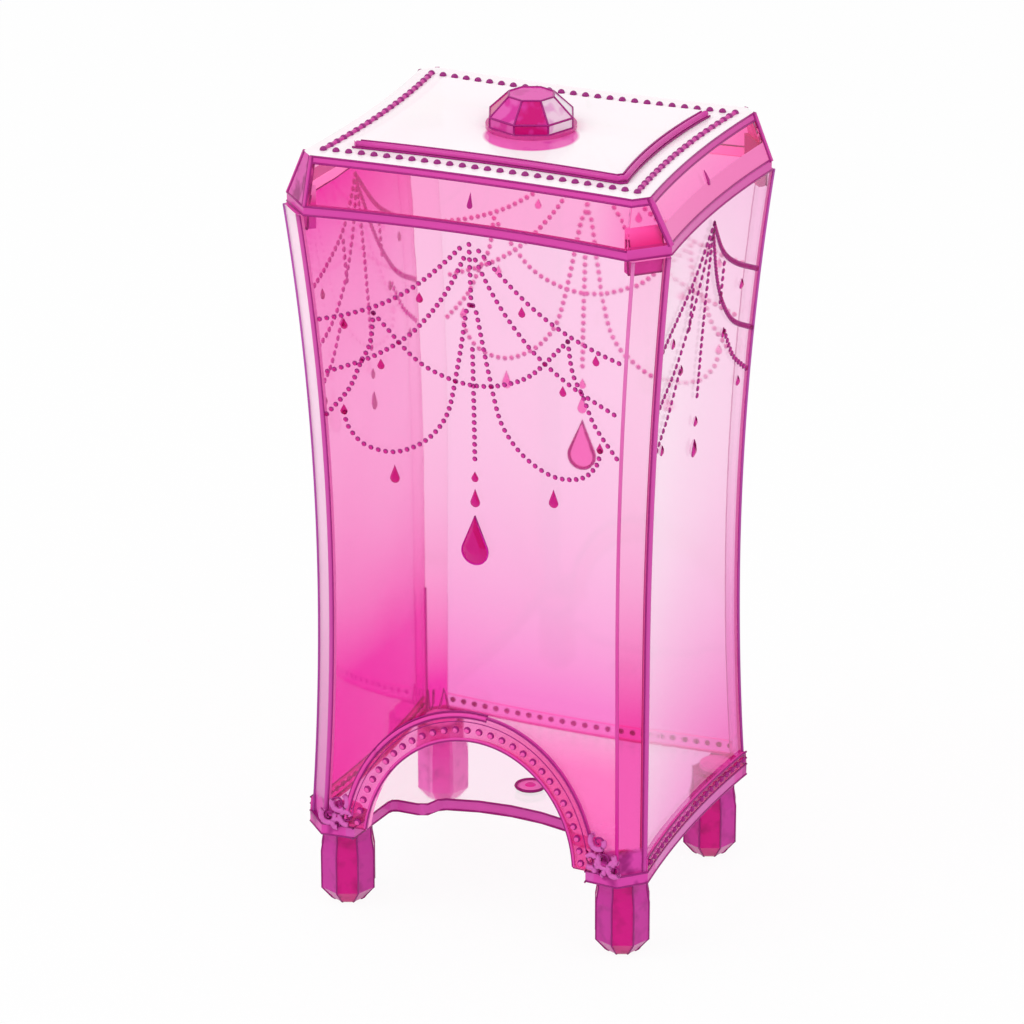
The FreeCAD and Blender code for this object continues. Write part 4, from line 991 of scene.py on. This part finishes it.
# ------------------------------
# Studio. A pale floor, a white room light and two soft lamps; the camera stands in front,
# to the right and a little above.
FLOOR_SIZE = 3.0
half = FLOOR_SIZE / 2
mesh = bpy.data.meshes.new("studio_floor")
mesh.from_pydata([(-half, -half, 0), (half, -half, 0), (half, half, 0), (-half, half, 0)], [], [(0, 1, 2, 3)])
ground = bpy.data.objects.new("studio_floor", mesh)
bpy.context.scene.collection.objects.link(ground)


def seen_rays(sheet):
    """1 for rays from the camera, off gloss and through clear plastic, 0 for lighting rays."""
    path = sheet.tree.nodes.new("ShaderNodeLightPath").outputs
    seen = sheet.maths("MAXIMUM", path["Is Camera Ray"], path["Is Glossy Ray"])
    return sheet.maths("MAXIMUM", seen, path["Is Transmission Ray"])


WHITE = (1, 1, 1, 1)
ROOM_LIGHT, FLOOR_GLOW = 0.8, 0.93
paper, sheet, matt = new_material("studio paper")
shade = sheet.ramp(sheet.noise(sheet.place(), 600.0, 3.0), 0.0, 1.0, 0.9, 0.94)
sheet.fill(matt, Base_Color=sheet.add("ShaderNodeCombineColor", shade, shade, shade), Roughness=0.9)
lit = sheet.add("ShaderNodeMixShader", sheet.times(seen_rays(sheet), FLOOR_GLOW), matt.outputs[0],
                sheet.add("ShaderNodeEmission", WHITE, 1.0))
sheet.fill(sheet.tree.nodes["Material Output"], Surface=lit)
mesh.materials.append(paper)

scene = bpy.context.scene
scene.world = bpy.data.worlds.new("studio")
scene.world.use_nodes = True
sheet = Sheet(scene.world.node_tree)
sheet.fill(sheet.tree.nodes["Background"], Color=WHITE,
           Strength=sheet.ramp(seen_rays(sheet), 0.0, 1.0, ROOM_LIGHT, 1.0))

LAMP_SIZE = 1.2
for name, place, power in (("key_lamp", (-1.1, -1.2, 1.9), 14.0), ("fill_lamp", (1.4, -0.9, 1.2), 6.0)):
    lamp = bpy.data.lights.new(name, "AREA")
    lamp.size = LAMP_SIZE
    lamp.energy = power
    lamp_object = bpy.data.objects.new(name, lamp)
    scene.collection.objects.link(lamp_object)
    lamp_object.location = place
    lamp_object.rotation_euler = (Vector((0, 0, 0.1)) - Vector(place)).to_track_quat("-Z", "Y").to_euler()

scene.view_settings.view_transform = "Standard"
scene.cycles.max_bounces = 40
scene.cycles.transmission_bounces = 40

AZIMUTH, ELEVATION = math.radians(22.90), math.radians(22.30)
TARGET, DISTANCE = Vector((0, 0, 0.105)), 1.4469
SLIDE_RIGHT, SLIDE_UP = 0.00491, -0.00017
FOCAL_PIXELS, FRAME_PIXELS, SENSOR = 5523.1, 1024, 36.0
back = Vector((math.sin(AZIMUTH) * math.cos(ELEVATION), -math.cos(AZIMUTH) * math.cos(ELEVATION),
               math.sin(ELEVATION)))
right = Vector(UPWARD).cross(back).normalized()
up = back.cross(right)
lens = bpy.data.cameras.new("camera")
lens.sensor_width = SENSOR
lens.lens = FOCAL_PIXELS / FRAME_PIXELS * SENSOR
lens.clip_end = 20.0
camera = bpy.data.objects.new("camera", lens)
scene.collection.objects.link(camera)
stand = TARGET + back * DISTANCE - right * SLIDE_RIGHT - up * SLIDE_UP
camera.matrix_world = Matrix.Translation(stand) @ Matrix((right, up, back)).transposed().to_4x4()
scene.camera = camera
